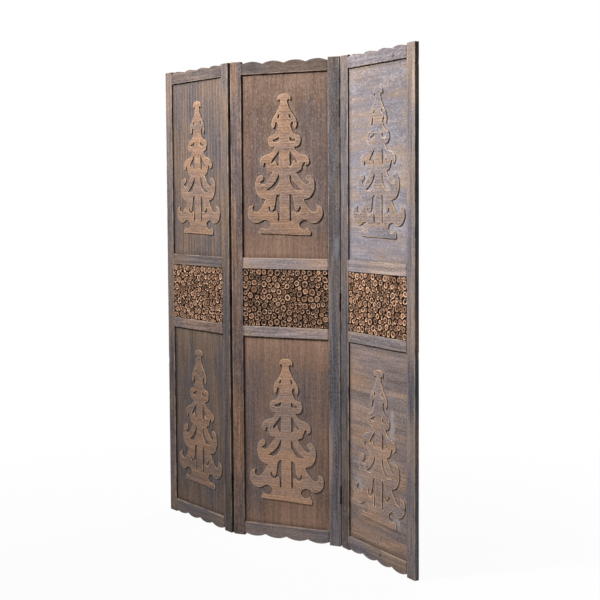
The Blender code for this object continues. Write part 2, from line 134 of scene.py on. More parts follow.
# The twig slices.
SLICE_COLUMNS, SLICE_ROWS = 14, 9  # of the larger ones, before they are pushed apart
SLICE_SCATTER = 9 * MM
SLICE_RADII = (5.0 * MM, 12.0 * MM, 15.5 * MM)  # the smallest, the most usual and the largest
SLICE_ROUNDS = 260
SLICE_PUSH = 0.45
FILLER_TRIES = 9000
FILLER_RADII = (3.2 * MM, 9 * MM)  # the least room that gets a smaller slice, and the largest of them
SLICE_GAP = 1.2 * MM
SLICE_LUMPS = ((2, 0.12), (3, 0.07), (5, 0.035), (7, 0.02))  # how many waves round it, and their size
NEIGHBOUR_REACH = 45 * MM
PRESSING = 12.0  # the higher, the flatter a slice is pressed against its neighbours
SLICE_SIDES = 26
SLICE_ANGLES = np.arange(SLICE_SIDES) * 2 * math.pi / SLICE_SIDES

# The hinges.
HINGE_PLACES = ("top", "middle", "bottom")
HINGE_HEIGHT = 64 * MM
PIN_STANDOFF = 3 * MM
PIN_RADIUS = 1.4 * MM
PIN_HEAD_RADIUS = 2.6 * MM
PIN_HEAD_HEIGHT = 1.6 * MM
BORE_RADIUS = 1.7 * MM
BARREL_RADIUS = 3.0 * MM
BARREL_SIDES = 32
KNUCKLE_COUNT = 5
KNUCKLE_GAP = 0.4 * MM
LEAF_AIR = 0.3 * MM
LEAF_THICKNESS = 1.5 * MM
LEAF_REACH = 14.5 * MM
SCREW_SPACING = 23 * MM
SCREW_HOLE_RADIUS = 1.8 * MM
SCREW_SINK_RADIUS = 3.2 * MM
SCREW_THREADS = 7
SCREW_PITCH = 1.5 * MM
SCREW_CORE = 1.0 * MM
SLOT_REACH = 2.0 * MM
SLOT_WIDTH = 0.7 * MM
SLOT_DEPTH = 0.9 * MM
TURNED_SIDES = 24
LEAF_EASE = 0.12 * MM
SCREW_PLACE = (PIN_STANDOFF + LEAF_REACH + BARREL_RADIUS + KNUCKLE_GAP) / 2  # from the pin, along -Y

# The floor, whose fade into the white ground is drawn out over this distance.
FLOOR_RADIUS = 9.0
FLOOR_FADE_REACH = 3.0

# The camera, where the photograph was taken from.
CAMERA_PLACE = (1.708, -3.796, 1.288)
CAMERA_HEADING = math.radians(23.2)
CAMERA_DIP = math.radians(3.25)
CAMERA_ROLL = math.radians(-0.34)
CAMERA_LENS = 67.3
CAMERA_SHIFT = -0.0633

# One half of the fretwork tree, as in the CAD: millimetres across from its middle and up from its foot, from
# the tip round the right-hand side. The outline is a smooth curve through the places, with a cusp at each
# place marked SHARP.
SHARP = "sharp"

TREE_SIDE = [
    # The cap, with a curl at its end.
    (0, 524, SHARP), (15, 522), (26, 512), (25, 496, SHARP), (20, 503), (14, 500),
    # The cone, ending in a hook that hangs down.
    (16, 483), (26, 462), (46, 432), (51, 413), (44, 396), (38, 405), (33, 419), (26, 412), (29, 392),
    (44, 373),
    # The rounded second tier.
    (59, 369), (66, 350), (56, 330), (39, 326, SHARP),
    # The third tier, with a hook that hangs down.
    (53, 307), (84, 296), (99, 281), (97, 262), (85, 256, SHARP), (81, 270), (72, 259), (65, 241),
    (47, 233, SHARP),
    # The fourth tier, with a curl that stands up.
    (62, 212), (88, 189), (99, 197), (88, 206), (88, 221), (104, 222), (119, 200), (117, 163), (99, 139),
    (77, 133, SHARP),
    # The fifth and widest tier, with an end that stands up.
    (93, 106), (118, 86), (132, 97), (127, 113, SHARP), (146, 105), (152, 80), (139, 54), (114, 45),
    # The notch above the foot.
    (80, 57), (59, 42), (74, 21), (96, 29, SHARP), (105, 13), (103, 0, SHARP),
]

TREE_HOLES = [
    # A slit beside the first hook.
    [(19, 449, SHARP), (25, 444), (26, 432), (20, 437)],
    # The three-cornered hole of the second tier.
    [(21, 367, SHARP), (32, 358), (46, 353), (40, 346), (21, 350, SHARP)],
    # The slot of the third tier, with a bud in its floor.
    [
        (21, 315, SHARP), (44, 287), (53, 269), (47, 268), (39, 277), (31, 265), (27, 257, SHARP),
        (21, 257, SHARP),
    ],
    # The crescent of the fourth tier.
    [
        (22, 230, SHARP), (36, 201), (55, 182), (76, 168, SHARP), (48, 167), (29, 186), (20, 210),
    ],
    # The tall slot of the fifth tier, with a hook beside it.
    [
        (20, 153, SHARP), (32, 148), (39, 116), (48, 93), (58, 98), (62, 107), (64, 92), (50, 82),
        (34, 91), (28, 52, SHARP), (20, 52, SHARP),
    ],
]


# Where each panel and hinge stands.


def joint_named(name):
    return next(joint for joint in frame["joints"] if joint["name"] == name)


def fold_matrix(side):
    """The place and turn of the empty that a side panel is folded about."""
    joint = joint_named(f"{side}_fold")
    across, depth, _ = joint["pos_m"]
    rest_fold = math.radians(-joint["range_deg"][0])
    return Matrix.Translation((across, depth, 0.0)) @ Matrix.Rotation(-rest_fold, 4, "Z")


def panel_matrix(side):
    """Turns a panel's own coordinates into the frame's."""
    if side == "middle":
        return Matrix.Translation(MIDDLE_CORNER)
    axis = Vector(joint_named(f"{side}_fold")["pos_m"])
    middle = Vector((MIDDLE_CORNER.x + PANEL_WIDTH / 2, MIDDLE_CORNER.y + PANEL_THICKNESS / 2, 0.0))
    # The two panels at a joint are mirror images in its gap while they lie flat.
    flat_middle = Vector((2 * axis.x - middle.x, middle.y, 0.0))
    corner = flat_middle - Vector((PANEL_WIDTH / 2, PANEL_THICKNESS / 2, 0.0)) - Vector((axis.x, axis.y, 0.0))
    return fold_matrix(side) @ Matrix.Translation(corner)


# Materials.


class Shader:
    """A new material, with a method for each kind of node, which returns the node's output socket."""

    def __init__(self, name):
        self.material = bpy.data.materials.new(name)
        self.material.use_nodes = True
        self.tree = self.material.node_tree
        self.surface = self.tree.nodes["Principled BSDF"]

    def feed(self, socket, source):
        """Links the source to the socket, or sets the socket to it if it is a number or a colour."""
        if isinstance(source, bpy.types.NodeSocket):
            self.tree.links.new(source, socket)
        else:
            socket.default_value = source

    def node(self, kind, output, inputs, **settings):
        """The output of a new node with these settings, fed with these inputs."""
        node = self.tree.nodes.new(f"ShaderNode{kind}")
        for setting, value in settings.items():
            setattr(node, setting, value)
        for socket, source in inputs.items():
            self.feed(node.inputs[socket], source)
        return node.outputs[output]

    def own_place(self):
        return self.node("TexCoord", "Object", {})

    def attribute(self, name, output="Fac"):
        return self.node("Attribute", output, {}, attribute_name=name)

    def mapped(self, vector, scale, shift=(0.0, 0.0, 0.0)):
        return self.node("Mapping", "Vector", {"Vector": vector, "Scale": scale, "Location": shift})

    def noise(self, vector, scale, detail=4.0, roughness=0.55, distortion=0.0):
        shape = {"Scale": scale, "Detail": detail, "Roughness": roughness, "Distortion": distortion}
        return self.node("TexNoise", "Fac", {"Vector": vector, **shape})

    def bands(self, vector, period, direction):
        """Soft stripes across a direction, a period apart, a little bent."""
        shape = {"Scale": math.pi / (10 * period), "Distortion": 0.9, "Detail": 2.0, "Detail Scale": 1.5}
        return self.node("TexWave", "Fac", {"Vector": vector, **shape}, bands_direction=direction)

    def ramp(self, factor, stops):
        """Numbers or colours that follow the factor, through (position, value) stops."""
        output = self.node("ValToRGB", "Color", {"Fac": factor})
        elements = output.node.color_ramp.elements
        while len(elements) < len(stops):
            elements.new(0.5)
        for element, (position, value) in zip(elements, stops):
            element.position = position
            element.color = (*value, 1.0) if isinstance(value, tuple) else (value, value, value, 1.0)
        return output

    def mix(self, factor, first, second, blend="MIX"):
        colours = [(*source, 1.0) if isinstance(source, tuple) else source for source in (first, second)]
        inputs = {0: factor, 6: colours[0], 7: colours[1]}
        return self.node("Mix", 2, inputs, data_type="RGBA", blend_type=blend)

    def calc(self, operation, *sources):
        return self.node("Math", "Value", dict(enumerate(sources)), operation=operation)

    def times(self, first, second):
        return self.calc("MULTIPLY", first, second)

    def parts(self, vector):
        """The three numbers of a vector."""
        return self.node("SeparateXYZ", 0, {"Vector": vector}).node.outputs

    def length(self, vector):
        return self.node("VectorMath", "Value", {0: vector}, operation="LENGTH")

    def sum_of(self, *weighted):
        """The sum of (source, weight) pairs."""
        (source, weight), *others = weighted
        total = self.times(source, weight)
        for source, weight in others:
            total = self.calc("MULTIPLY_ADD", source, weight, total)
        return total

    def coat(self, colour, roughness, specular=0.5, metallic=0.0):
        """Sets the surface's colour, and how rough, shiny and metallic it is."""
        self.feed(self.surface.inputs["Base Color"], colour)
        self.feed(self.surface.inputs["Roughness"], roughness)
        self.surface.inputs["Specular IOR Level"].default_value = specular
        self.surface.inputs["Metallic"].default_value = metallic

    def blot(self, place, middle, reach, ragged):
        """1 in an oval spot on the panel's front, fading to 0 at a ragged rim.

        The reach is half the spot's size each way.
        """
        (across, up), (wide, high) = middle, reach
        oval = self.mapped(place, (1 / wide, 0.0, 1 / high), (-across / wide, 0.0, -up / high))
        distance = self.calc("MULTIPLY_ADD", ragged, 1.6, self.length(oval))
        on_front = self.calc("LESS_THAN", self.parts(place)[1], BOARD_MIDDLE)
        return self.times(on_front, self.ramp(distance, [(0.55, 1.0), (1.0, 0.0)]))

    def relief(self, height, distance):
        """Bumps the surface by the height, which runs from 0 to 1 over the distance."""
        bump = self.node("Bump", "Normal", {"Height": height, "Distance": distance})
        self.feed(self.surface.inputs["Normal"], bump)


def shade(colour, share):
    return tuple(channel * share for channel in colour)


# Tints on a finish's tone.
WARM_TINT = (1.19, 0.97, 0.75)
COOL_TINT = (0.91, 0.985, 1.19)
WASH_TINT = (1.30, 1.50, 1.75)
PALE_FLECK = (1.75, 1.80, 1.85)
DARK_FLECK = (0.50, 0.46, 0.44)
KNOT_TINT = (0.42, 0.33, 0.27)
KNOT_REACH = (8 * MM, 7 * MM)
GRAIN_STOPS = ((0.36, 0.42), (0.44, 0.74), (0.50, 1.00), (0.56, 1.30), (0.64, 1.85))

# The noises that draw the wood: how much each is squeezed along the grain, then its scale, detail, roughness
# and distortion.
WOOD_NOISES = (
    (0.035, 360.0, 4.0, 0.70, 0.0),  # fibres
    (0.045, 105.0, 4.0, 0.60, 0.3),  # streaks
    (0.10, 26.0, 4.0, 0.55, 0.4),  # bands
    (0.45, 7.5, 3.0, 0.55, 0.0),  # clouds
    (0.45, 250.0, 3.0, 0.65, 0.0),  # flecks
    (0.06, 850.0, 2.0, 0.55, 0.0),  # pores
    (0.28, 13.0, 7.0, 0.72, 0.0),  # patches of wash
    (0.40, 70.0, 4.0, 0.55, 0.0),  # ragged rims
    (0.30, 55.0, 5.0, 0.70, 0.0),  # where an edge is rubbed
)
STRIPE_SQUEEZE = 0.03
WOOD_SPECULAR = 0.25

# Colours of bare wood on worn edges, and of the dirt and painted shade in corners, recesses and on shaded
# sides.
WORN_COLOUR = (0.44, 0.335, 0.25)
WORN_TREE_COLOUR = (0.52, 0.35, 0.22)
GRIME_AND_SHADE_COLOUR = (0.022, 0.015, 0.011)


def tinted(tone, tint):
    return tuple(channel * share for channel, share in zip(tone, tint))


def weathered_wood(name, finish, grain, seed):
    """Washed and brushed wood in one of the finishes, its grain running "up" or "across" the panel."""
    shader = Shader(name)
    place = shader.own_place()
    tone = finish["tone"]
    shift = (seed * 3.17, seed * 1.71, seed * 2.39)

    def grained(squeeze):
        """The piece's own place, squeezed along the grain so that noise draws streaks there."""
        scale = (1.0, 1.0, squeeze) if grain == "up" else (squeeze, 1.0, 1.0)
        return shader.mapped(place, scale, shift)

    fibre, streak, band, cloud, fleck, pore, wash_patch, rim, rubbed = (
        shader.noise(grained(squeeze), *look) for squeeze, *look in WOOD_NOISES
    )
    stripe = shader.bands(grained(STRIPE_SQUEEZE), finish["stripe_period"], "X" if grain == "up" else "Z")

    # Light and dark along the grain.
    ends = shader.attribute("ends")
    body = shader.sum_of((fibre, 0.24), (streak, 0.34), (band, 0.20), (fleck, 0.22))
    striped = shader.calc("MULTIPLY_ADD", stripe, finish["stripes"], -finish["stripes"] / 2)
    body = shader.calc("MULTIPLY_ADD", ends, finish["end_light"], shader.calc("ADD", body, striped))
    grey = shader.ramp(body, [(at, share ** finish["contrast"]) for at, share in GRAIN_STOPS])
    colour = shader.mix(1.0, grey, tone, "MULTIPLY")
    patchy = finish["patchy"]
    uneven = shader.ramp(cloud, [(0.36, 1 - patchy), (0.64, 1 + patchy)])
    # Lighter or darker towards the top: partly painted light and shade, partly the wood's own tone.
    lift = finish["lift"]
    raised = shader.calc("DIVIDE", shader.parts(place)[2], SCREEN_HEIGHT)
    uneven = shader.times(uneven, shader.ramp(raised, [(0.0, 1 - lift), (1.0, 1 + lift)]))
    colour = shader.mix(1.0, colour, uneven, "MULTIPLY")

    # Warm and cool patches, with the ends of a board warmer than its middle.
    warmth = shader.sum_of((cloud, 0.55), (band, 0.45), (ends, finish["end_warmth"]))
    spread = finish["hue"] / 2
    warm_share = shader.ramp(warmth, [(0.43, 0.5 - spread), (0.57, 0.5 + spread)])
    colour = shader.mix(1.0, colour, shader.mix(warm_share, COOL_TINT, WARM_TINT), "MULTIPLY")

    # The pale wash that is left in patches, thicker in the valleys of the grain.
    wash_lie = shader.sum_of((wash_patch, 0.65), (fleck, 0.35))
    wash = finish["wash"]
    wash_share = shader.ramp(wash_lie, [(0.55 - 0.12 * wash, 0.0), (0.66 - 0.08 * wash, wash)])
    ragged = shader.calc("SUBTRACT", rim, 0.5)
    gathered = shader.ramp(wash_lie, [(0.44, 0.0), (0.56, 0.6)])
    halo_share = shader.times(shader.attribute("halo"), gathered)
    wash_share = shader.calc("MAXIMUM", wash_share, halo_share)
    for middle, reach in finish["blooms"]:
        wash_share = shader.calc("MAXIMUM", wash_share, shader.blot(place, middle, reach, ragged))
    colour = shader.mix(wash_share, colour, tinted(tone, WASH_TINT))

    flecks = finish["flecks"]
    pale_share = shader.ramp(fleck, [(0.56, 0.0), (0.68, flecks)])
    dark_share = shader.ramp(fleck, [(0.33, flecks), (0.44, 0.0)])
    colour = shader.mix(pale_share, colour, tinted(tone, PALE_FLECK))
    colour = shader.mix(dark_share, colour, tinted(tone, DARK_FLECK))
    pore_share = shader.ramp(pore, [(0.30, 0.7), (0.40, 0.0)])
    colour = shader.mix(pore_share, colour, shade(tone, 0.3))
    for middle in finish["knots"]:
        knot = shader.blot(place, middle, KNOT_REACH, ragged)
        colour = shader.mix(knot, colour, tinted(tone, KNOT_TINT))

    # Bare wood along the edges, and dirt and painted shade in the corners, recesses and on shaded sides.
    broken = shader.ramp(rubbed, [(0.42, 0.08), (0.56, 0.9)])
    worn_share = shader.times(shader.attribute("wear"), broken)
    colour = shader.mix(worn_share, colour, finish["edge"])
    streaked = shader.ramp(streak, [(0.4, 1.0), (0.6, 0.75)])
    grime_and_shade_share = shader.times(shader.attribute("grime_and_shade"), streaked)
    colour = shader.mix(grime_and_shade_share, colour, GRIME_AND_SHADE_COLOUR)
    shader.coat(colour, shader.ramp(body, [(0.42, 0.9), (0.58, 0.68)]), WOOD_SPECULAR)
    height = shader.calc("MULTIPLY_ADD", streak, 0.6, fibre)
    height = shader.calc("SUBTRACT", height, shader.times(pore_share, 0.5))
    shader.relief(height, 0.8 * MM)
    return shader.material


# The twigs' colours, from the darkest slices to the palest.
SLICE_TONES = [
    (0.0, (0.080, 0.038, 0.023)),
    (0.35, (0.18, 0.088, 0.052)),
    (0.70, (0.32, 0.160, 0.095)),
    (1.0, (0.48, 0.270, 0.170)),
]
SLICE_BRIGHTNESS = {"left": 1.08, "middle": 0.95, "right": 1.18}
YEAR_WIDTH = 1.3 * MM
YEAR_WAVER = 2.2 * MM
SLICE_YEAR = (0.075, 0.042, 0.028)
SLICE_RIM = (0.90, 0.56, 0.37)
SLICE_HEART = (0.022, 0.013, 0.009)


def slice_wood(name, brightness):
    """The cut ends of twigs: dark bark, a pale rim that is partly a painted highlight, brown wood with year
    rings and a dark heart that is partly painted shade in its hollow.
    """
    shader = Shader(name)
    spot = shader.attribute("slice_place", "Vector")
    reach = shader.attribute("slice_reach")
    seed = shader.parts(spot)[2]
    place = shader.own_place()
    grit = shader.noise(place, 650.0, detail=4.0, roughness=0.7)
    patch = shader.noise(place, 90.0, detail=3.0)

    def drawn(times):
        """A number from 0 to 1 that each slice draws for itself."""
        return shader.calc("FRACT", shader.times(seed, times))

    flat = shader.mapped(spot, (1.0, 1.0, 0.0))
    from_heart = shader.calc("MULTIPLY_ADD", patch, YEAR_WAVER, shader.length(flat))
    year = shader.calc("SINE", shader.times(from_heart, 2 * math.pi / YEAR_WIDTH))
    year = shader.calc("MULTIPLY_ADD", year, 0.5, 0.5)

    # The pale rim is partly the wood's own paler rim, partly a painted highlight.
    rim_colour = shade(SLICE_RIM, brightness)
    wood = shader.ramp(drawn(7.31), [(at, shade(tone, brightness)) for at, tone in SLICE_TONES])
    wood = shader.mix(shader.times(year, 0.45), wood, SLICE_YEAR)
    lopsided = shader.calc("MULTIPLY_ADD", shader.calc("SUBTRACT", patch, 0.5), 0.35, reach)
    # The dark heart is partly dark wood, partly painted shade in the hollow.
    dark_heart = shader.ramp(drawn(91.7), [(0.15, 0.1), (0.5, 0.95)])
    in_heart = shader.ramp(lopsided, [(0.30, 1.0), (0.52, 0.0)])
    wood = shader.mix(shader.times(dark_heart, in_heart), wood, SLICE_HEART)
    rim_share = shader.ramp(lopsided, [(0.52, 0.0), (0.64, 1.0), (0.80, 1.0), (0.88, 0.0)])
    rim_share = shader.times(rim_share, shader.ramp(drawn(23.9), [(0.1, 0.30), (0.6, 1.0)]))
    rim_share = shader.times(rim_share, shader.ramp(patch, [(0.42, 0.1), (0.54, 1.0)]))
    wood = shader.mix(rim_share, wood, rim_colour)
    wood = shader.mix(shader.ramp(grit, [(0.40, 0.55), (0.56, 0.0)]), wood, SLICE_HEART)
    in_pith = shader.ramp(reach, [(0.11, 1.0), (0.17, 0.0)])
    pale_pith = shader.ramp(drawn(57.3), [(0.45, 0.0), (0.5, 0.9)])
    wood = shader.mix(shader.times(in_pith, pale_pith), wood, rim_colour)
    bark_edge = shader.calc("MULTIPLY_ADD", patch, 0.10, reach)
    bark = shader.ramp(bark_edge, [(0.90, 0.0), (0.96, 1.0)])
    bark_colour = shader.ramp(grit, [(0.35, (0.012, 0.008, 0.006)), (0.70, (0.060, 0.040, 0.028))])
    wood = shader.mix(bark, wood, bark_colour)
    shader.coat(wood, shader.ramp(grit, [(0.3, 0.9), (0.7, 0.65)]), WOOD_SPECULAR)
    shader.relief(shader.calc("MULTIPLY_ADD", year, 0.25, grit), 0.5 * MM)
    return shader.material


BRONZE_STOPS = ((0.35, (0.022, 0.018, 0.015)), (0.55, (0.060, 0.045, 0.032)), (0.72, (0.17, 0.125, 0.075)))


def dark_bronze():
    """Hinge metal: dark bronze, rubbed brighter in patches and dull where it has tarnished."""
    shader = Shader("dark_bronze")
    place = shader.own_place()
    tarnish = shader.noise(place, 160.0, detail=6.0, roughness=0.7)
    speck = shader.noise(place, 1400.0, detail=3.0)
    colour = shader.ramp(tarnish, BRONZE_STOPS)
    colour = shader.mix(shader.ramp(speck, [(0.58, 0.0), (0.72, 0.6)]), colour, (0.05, 0.045, 0.038))
    shader.coat(colour, shader.ramp(tarnish, [(0.35, 0.62), (0.7, 0.34)]), metallic=0.85)
    shader.relief(shader.calc("MULTIPLY_ADD", speck, 0.4, tarnish), 0.15 * MM)
    return shader.material


# Meshes.


def mesh_from(shape, name):
    mesh = bpy.data.meshes.new(name)
    bmesh.ops.recalc_face_normals(shape, faces=shape.faces)
    shape.to_mesh(mesh)
    shape.free()
    return mesh


def placed(name, data):
    """A new object of the scene."""
    obj = bpy.data.objects.new(name, data)
    bpy.context.scene.collection.objects.link(obj)
    return obj


def bridge(shape, rings):
    """Adds the faces between each closed ring of vertices and the next."""
    for ring, next_ring in zip(rings, rings[1:]):
        for index in range(len(ring)):
            after = (index + 1) % len(ring)
            shape.faces.new((ring[index], ring[after], next_ring[after], next_ring[index]))


def smooth_shaded(mesh, sharp_degrees=40.0):
    mesh.shade_smooth()
    mesh.set_sharp_from_angle(angle=math.radians(sharp_degrees))
    return mesh


def wobble(along, across, seed):
    """Smooth noise from -1 to 1."""
    return noise.noise(Vector((along, across, seed)))


def edge_ease(along, seed):
    """How far an edge is worn round here: a little everywhere, and more at a few knocks."""
    slow = wobble(along * 9.0, 0.3, seed)
    knock = max(0.0, wobble(along * 38.0, 4.7, seed) - KNOCK_THRESHOLD)
    return EASE + EASE_SPREAD * slow + KNOCK_DEPTH * knock


def waved(depth, along, across, seed):
    """The depth of a point of a bar, its face a little hollow here and there."""
    sunk = FACE_WAVE * (1 + wobble(along * 14, across * 60, seed)) / 2
    return depth + (sunk if depth < PANEL_THICKNESS / 2 else -sunk)


def bar_loop(front, back, low, high, eases, slots=(0.0, 0.0), steps=(0, 5)):
    """Points round a bar's cross-section, as (depth, place, wear).

    The place runs from the bar's low edge to its high one. The eases are the radii of its four corners, the
    slots are the depths of the grooves in its low and high edge, and the steps are how many points each edge
    and each face has between its ends.
    """
    low_slot, high_slot = slots
    edge_steps, face_steps = steps
    loop = []
    for corner, ease in enumerate(eases):
        next_ease = eases[(corner + 1) % 4]
        centre_depth = front + ease if corner in (0, 3) else back - ease
        centre_place = low + ease if corner in (0, 1) else high - ease
        for step in range(CORNER_STEPS + 1):
            turn = math.pi * (1 + corner / 2) + math.pi / 2 * step / CORNER_STEPS
            wear = math.sin(math.pi * (step + 1) / (CORNER_STEPS + 2))
            loop.append((centre_depth + ease * math.cos(turn), centre_place + ease * math.sin(turn), wear))
        if corner in (1, 3):
            depth, start, end = (back, low + ease, high - next_ease)
            if corner == 3:
                depth, start, end = (front, high - ease, low + next_ease)
            fade = math.copysign(EDGE_FADE, end - start)
            loop += [(depth, place, 0.0) for place in np.linspace(start + fade, end - fade, face_steps)]
            continue
        place, floor, walls = low, low + low_slot, (GROOVE_FRONT, GROOVE_BACK)
        start, end = front + ease, back - next_ease
        if corner == 2:
            place, floor, walls = high, high - high_slot, (GROOVE_BACK, GROOVE_FRONT)
            start, end = back - ease, front + next_ease
        if floor != place:
            near, far = walls
            loop += [(near, place, 0.0), (near, floor, 0.0), (far, floor, 0.0), (far, place, 0.0)]
        loop += [(depth, place, 0.0) for depth in np.linspace(start, end, edge_steps + 2)[1:-1]]
    return loop


# The marks of a wooden piece: its worn edges, its dirt and painted shade, and the warmer ends of a board.
MARKS = ("wear", "grime_and_shade", "ends")


def lofted(name, sections):
    """A closed mesh through equal sections, each a list of points with the numbers of MARKS at each."""
    shape = bmesh.new()
    layers = [shape.verts.layers.float.new(mark) for mark in MARKS]
    rings = []
    for section in sections:
        ring = [shape.verts.new(point) for point, marks in section]
        for vert, (point, marks) in zip(ring, section):
            for layer, value in zip(layers, marks):
                vert[layer] = value
        rings.append(ring)
    bridge(shape, rings)
    shape.faces.new(rings[0])
    shape.faces.new(rings[-1])
    bmesh.ops.remove_doubles(shape, verts=shape.verts, dist=WELD)
    bmesh.ops.dissolve_degenerate(shape, edges=shape.edges, dist=WELD)
    return mesh_from(shape, name)


def stile_mesh(piece, outer, inner, seed):
    """An upright from its outer edge to its inner one, with a stopped groove down its inner edge."""
    toward_middle = math.copysign(1.0, inner - outer)
    turns = [math.pi / 2 * step / 3 for step in range(4)]
    ends = [(EASE * (1 - math.cos(turn)), EASE * (1 - math.sin(turn)), False) for turn in turns]
    run_start, run_end = STILE_GROOVE_STOP, SCREEN_HEIGHT - STILE_GROOVE_STOP
    count = round((run_end - run_start) / FACE_SPACING)
    # Each station is a height, how far the eased end draws the stile in, and whether the groove is there.
    stations = ends + [(run_start / 2, 0.0, False), (run_start, 0.0, False)]
    stations += [(run_start + (run_end - run_start) * i / count, 0.0, True) for i in range(count + 1)]
    stations += [(run_end, 0.0, False), (SCREEN_HEIGHT - run_start / 2, 0.0, False)]
    stations += [(SCREEN_HEIGHT - height, inset, False) for height, inset, _ in reversed(ends)]
    sections = []
    for height, inset, grooved in stations:
        eases = [edge_ease(height, seed + corner) for corner in range(4)]
        slots = (NO_SLOT, STILE_GROOVE_DEPTH if grooved else NO_SLOT)
        loop = bar_loop(inset, PANEL_THICKNESS - inset, inset, STILE_WIDTH - inset, eases, slots)
        section = []
        for depth, place, wear in loop:
            depth = waved(depth, height, place, seed)
            # A stile's inner side, in the recess, is darkened as painted shade, and its outer side a little.
            grime_and_shade = 0.0
            if place > STILE_WIDTH - EASE / 2 and depth > EASE:
                grime_and_shade = INNER_SIDE_SHADE
            elif place < EASE / 2 and depth > EASE:
                grime_and_shade = OUTER_SIDE_SHADE
            wear = max(wear, END_WEAR if inset > 0 else 0.0)
            section.append(((outer + toward_middle * place, depth, height), (wear, grime_and_shade, 0.0)))
        sections.append(section)
    return lofted(piece, sections)


def scallop_lift(across):
    """How far a scalloped edge stands above its cusps here."""
    chord = (INNER_RIGHT - INNER_LEFT) / SCALLOP_COUNT
    radius = (chord**2 / 4 + SCALLOP_RISE**2) / (2 * SCALLOP_RISE)
    off_crown = (across - INNER_LEFT) % chord - chord / 2
    return math.sqrt(radius**2 - off_crown**2) - (radius - SCALLOP_RISE)


def rail_mesh(piece, seed):
    """A rail with a stub tenon at each end. The outer edge of the top and the bottom rail is scalloped."""
    box_low, box_high = middle_box(piece)
    left, right = INNER_LEFT + FIT_GAP, INNER_RIGHT - FIT_GAP
    step = (INNER_RIGHT - INNER_LEFT) / (SCALLOP_COUNT * SCALLOP_STEPS)
    run = [INNER_LEFT + step * i for i in range(SCALLOP_COUNT * SCALLOP_STEPS)]
    run = [across for across in run if left + 2 * MM < across < right - 2 * MM]
    run = [left, left + SHOULDER_EASE, *run, right - SHOULDER_EASE, right]
    stations = [(box_low.x, True), (left, True), *((across, False) for across in run)]
    stations += [(right, True), (box_high.x, True)]
    low_slot = NO_SLOT if piece == "bottom_rail" else RAIL_GROOVE_DEPTH
    high_slot = NO_SLOT if piece == "top_rail" else RAIL_GROOVE_DEPTH
    tenon_low, tenon_high = STILE_GROOVE_STOP + FIT_GAP, SCREEN_HEIGHT - STILE_GROOVE_STOP - FIT_GAP
    sections = []
    for across, tenon in stations:
        drop = SCALLOP_RISE - scallop_lift(min(max(across, left), right))
        low = box_low.z + (drop if piece == "bottom_rail" else 0.0)
        high = box_high.z - (drop if piece == "top_rail" else 0.0)
        inset = SHOULDER_EASE if across in (left, right) else 0.0
        eases = [edge_ease(across, seed + corner) for corner in range(4)]
        if piece == "bottom_rail":
            eases[3] += CREST_EASE
        loop = bar_loop(inset, PANEL_THICKNESS - inset, low, high, eases, (low_slot, high_slot))
        near_end = min(across - left, right - across)
        # The rail's face is darker toward the stile at each end.
        grime_and_shade = max(0.0, 1.0 - near_end / TENON_DARKENING_REACH) * TENON_DARKENING
        section = []
        for depth, place, wear in loop:
            depth = waved(depth, across, place, seed)
            if tenon:
                depth = min(max(depth, BOARD_FRONT), BOARD_BACK)
                place = min(max(place, low + low_slot, tenon_low), high - high_slot, tenon_high)
            if piece == "top_rail" and place > (low + high) / 2:
                wear *= SCALLOP_WEAR
            section.append(((across, depth, place), (wear * (1 - grime_and_shade), grime_and_shade, 0.0)))
        sections.append(section)
    return lofted(piece, sections)


def board_mesh(piece, seed, front_glue_and_shade):
    """A thin board, a little uneven, whose edges lie in the grooves round it."""
    low, high = middle_box(piece)
    count = round((high.x - low.x) / FACE_SPACING)
    rows = max(4, round((high.z - low.z) / FACE_SPACING))
    side_tuck = STILE_GROOVE_DEPTH - FIT_GAP
    rail_tuck = RAIL_GROOVE_DEPTH - FIT_GAP
    sections = []
    for i in range(count + 1):
        across = low.x + (high.x - low.x) * i / count
        from_side = min(across - low.x, high.x - across) - side_tuck
        section = []
        for depth, place, _ in bar_loop(low.y, high.y, low.z, high.z, [BOARD_EASE] * 4, steps=(2, rows)):
            from_end = min(place - low.z, high.z - place)
            from_frame = max(0.0, min(from_side, from_end - rail_tuck))
            # Painted shade along the frame.
            grime_and_shade = BOARD_EDGE_SHADE * max(0.0, 1.0 - from_frame / BOARD_EDGE_SHADE_REACH)
            # The backing board's front: glue, and painted shade between the slices.
            if depth < (low.y + high.y) / 2:
                grime_and_shade = max(grime_and_shade, front_glue_and_shade)
            depth += FACE_WAVE * wobble(across * 11, place * 7, seed)
            section.append(((across, depth, place), (0.0, grime_and_shade, max(0.0, 1.0 - from_end / END_REACH))))
        sections.append(section)
    return lofted(piece, sections)


# The fretwork trees.


def span_points(start, end, leaving, arriving):
    """Points from start up to, but not with, end, along a curve with these directions at its ends."""
    chord = end - start
    bend = leaving.angle(chord) + chord.angle(arriving)
    steps = max(1, math.ceil(bend / TREE_FACET_TURN))
    points = []
    for step in range(steps):
        along = step / steps
        end_share = along * along * (3 - 2 * along)
        start_pull = along * (1 - along) ** 2 * chord.length
        end_pull = along * along * (1 - along) * chord.length
        points.append(start + chord * end_share + leaving * start_pull - arriving * end_pull)
    return points


def smooth_path(places, closed):
    """Points, in metres, along the smooth curve through places in millimetres."""
    count = len(places)
    spots = [Vector(place[:2]) * MM for place in places]
    is_sharp = [SHARP in place for place in places]
    path = []
    for index in range(count if closed else count - 1):
        here, there = spots[index], spots[(index + 1) % count]
        forward = (there - here).normalized()
        leaving, arriving = forward, forward
        if not is_sharp[index]:
            leaving = (forward + (here - spots[index - 1]).normalized()).normalized()
        if not is_sharp[(index + 1) % count]:
            beyond = spots[(index + 2) % count]
            arriving = (forward + (beyond - there).normalized()).normalized()
        path += span_points(here, there, leaving, arriving)
    if not closed:
        path.append(spots[-1])
    return path


def mirrored(path):
    return [Vector((-point.x, point.y)) for point in reversed(path)]


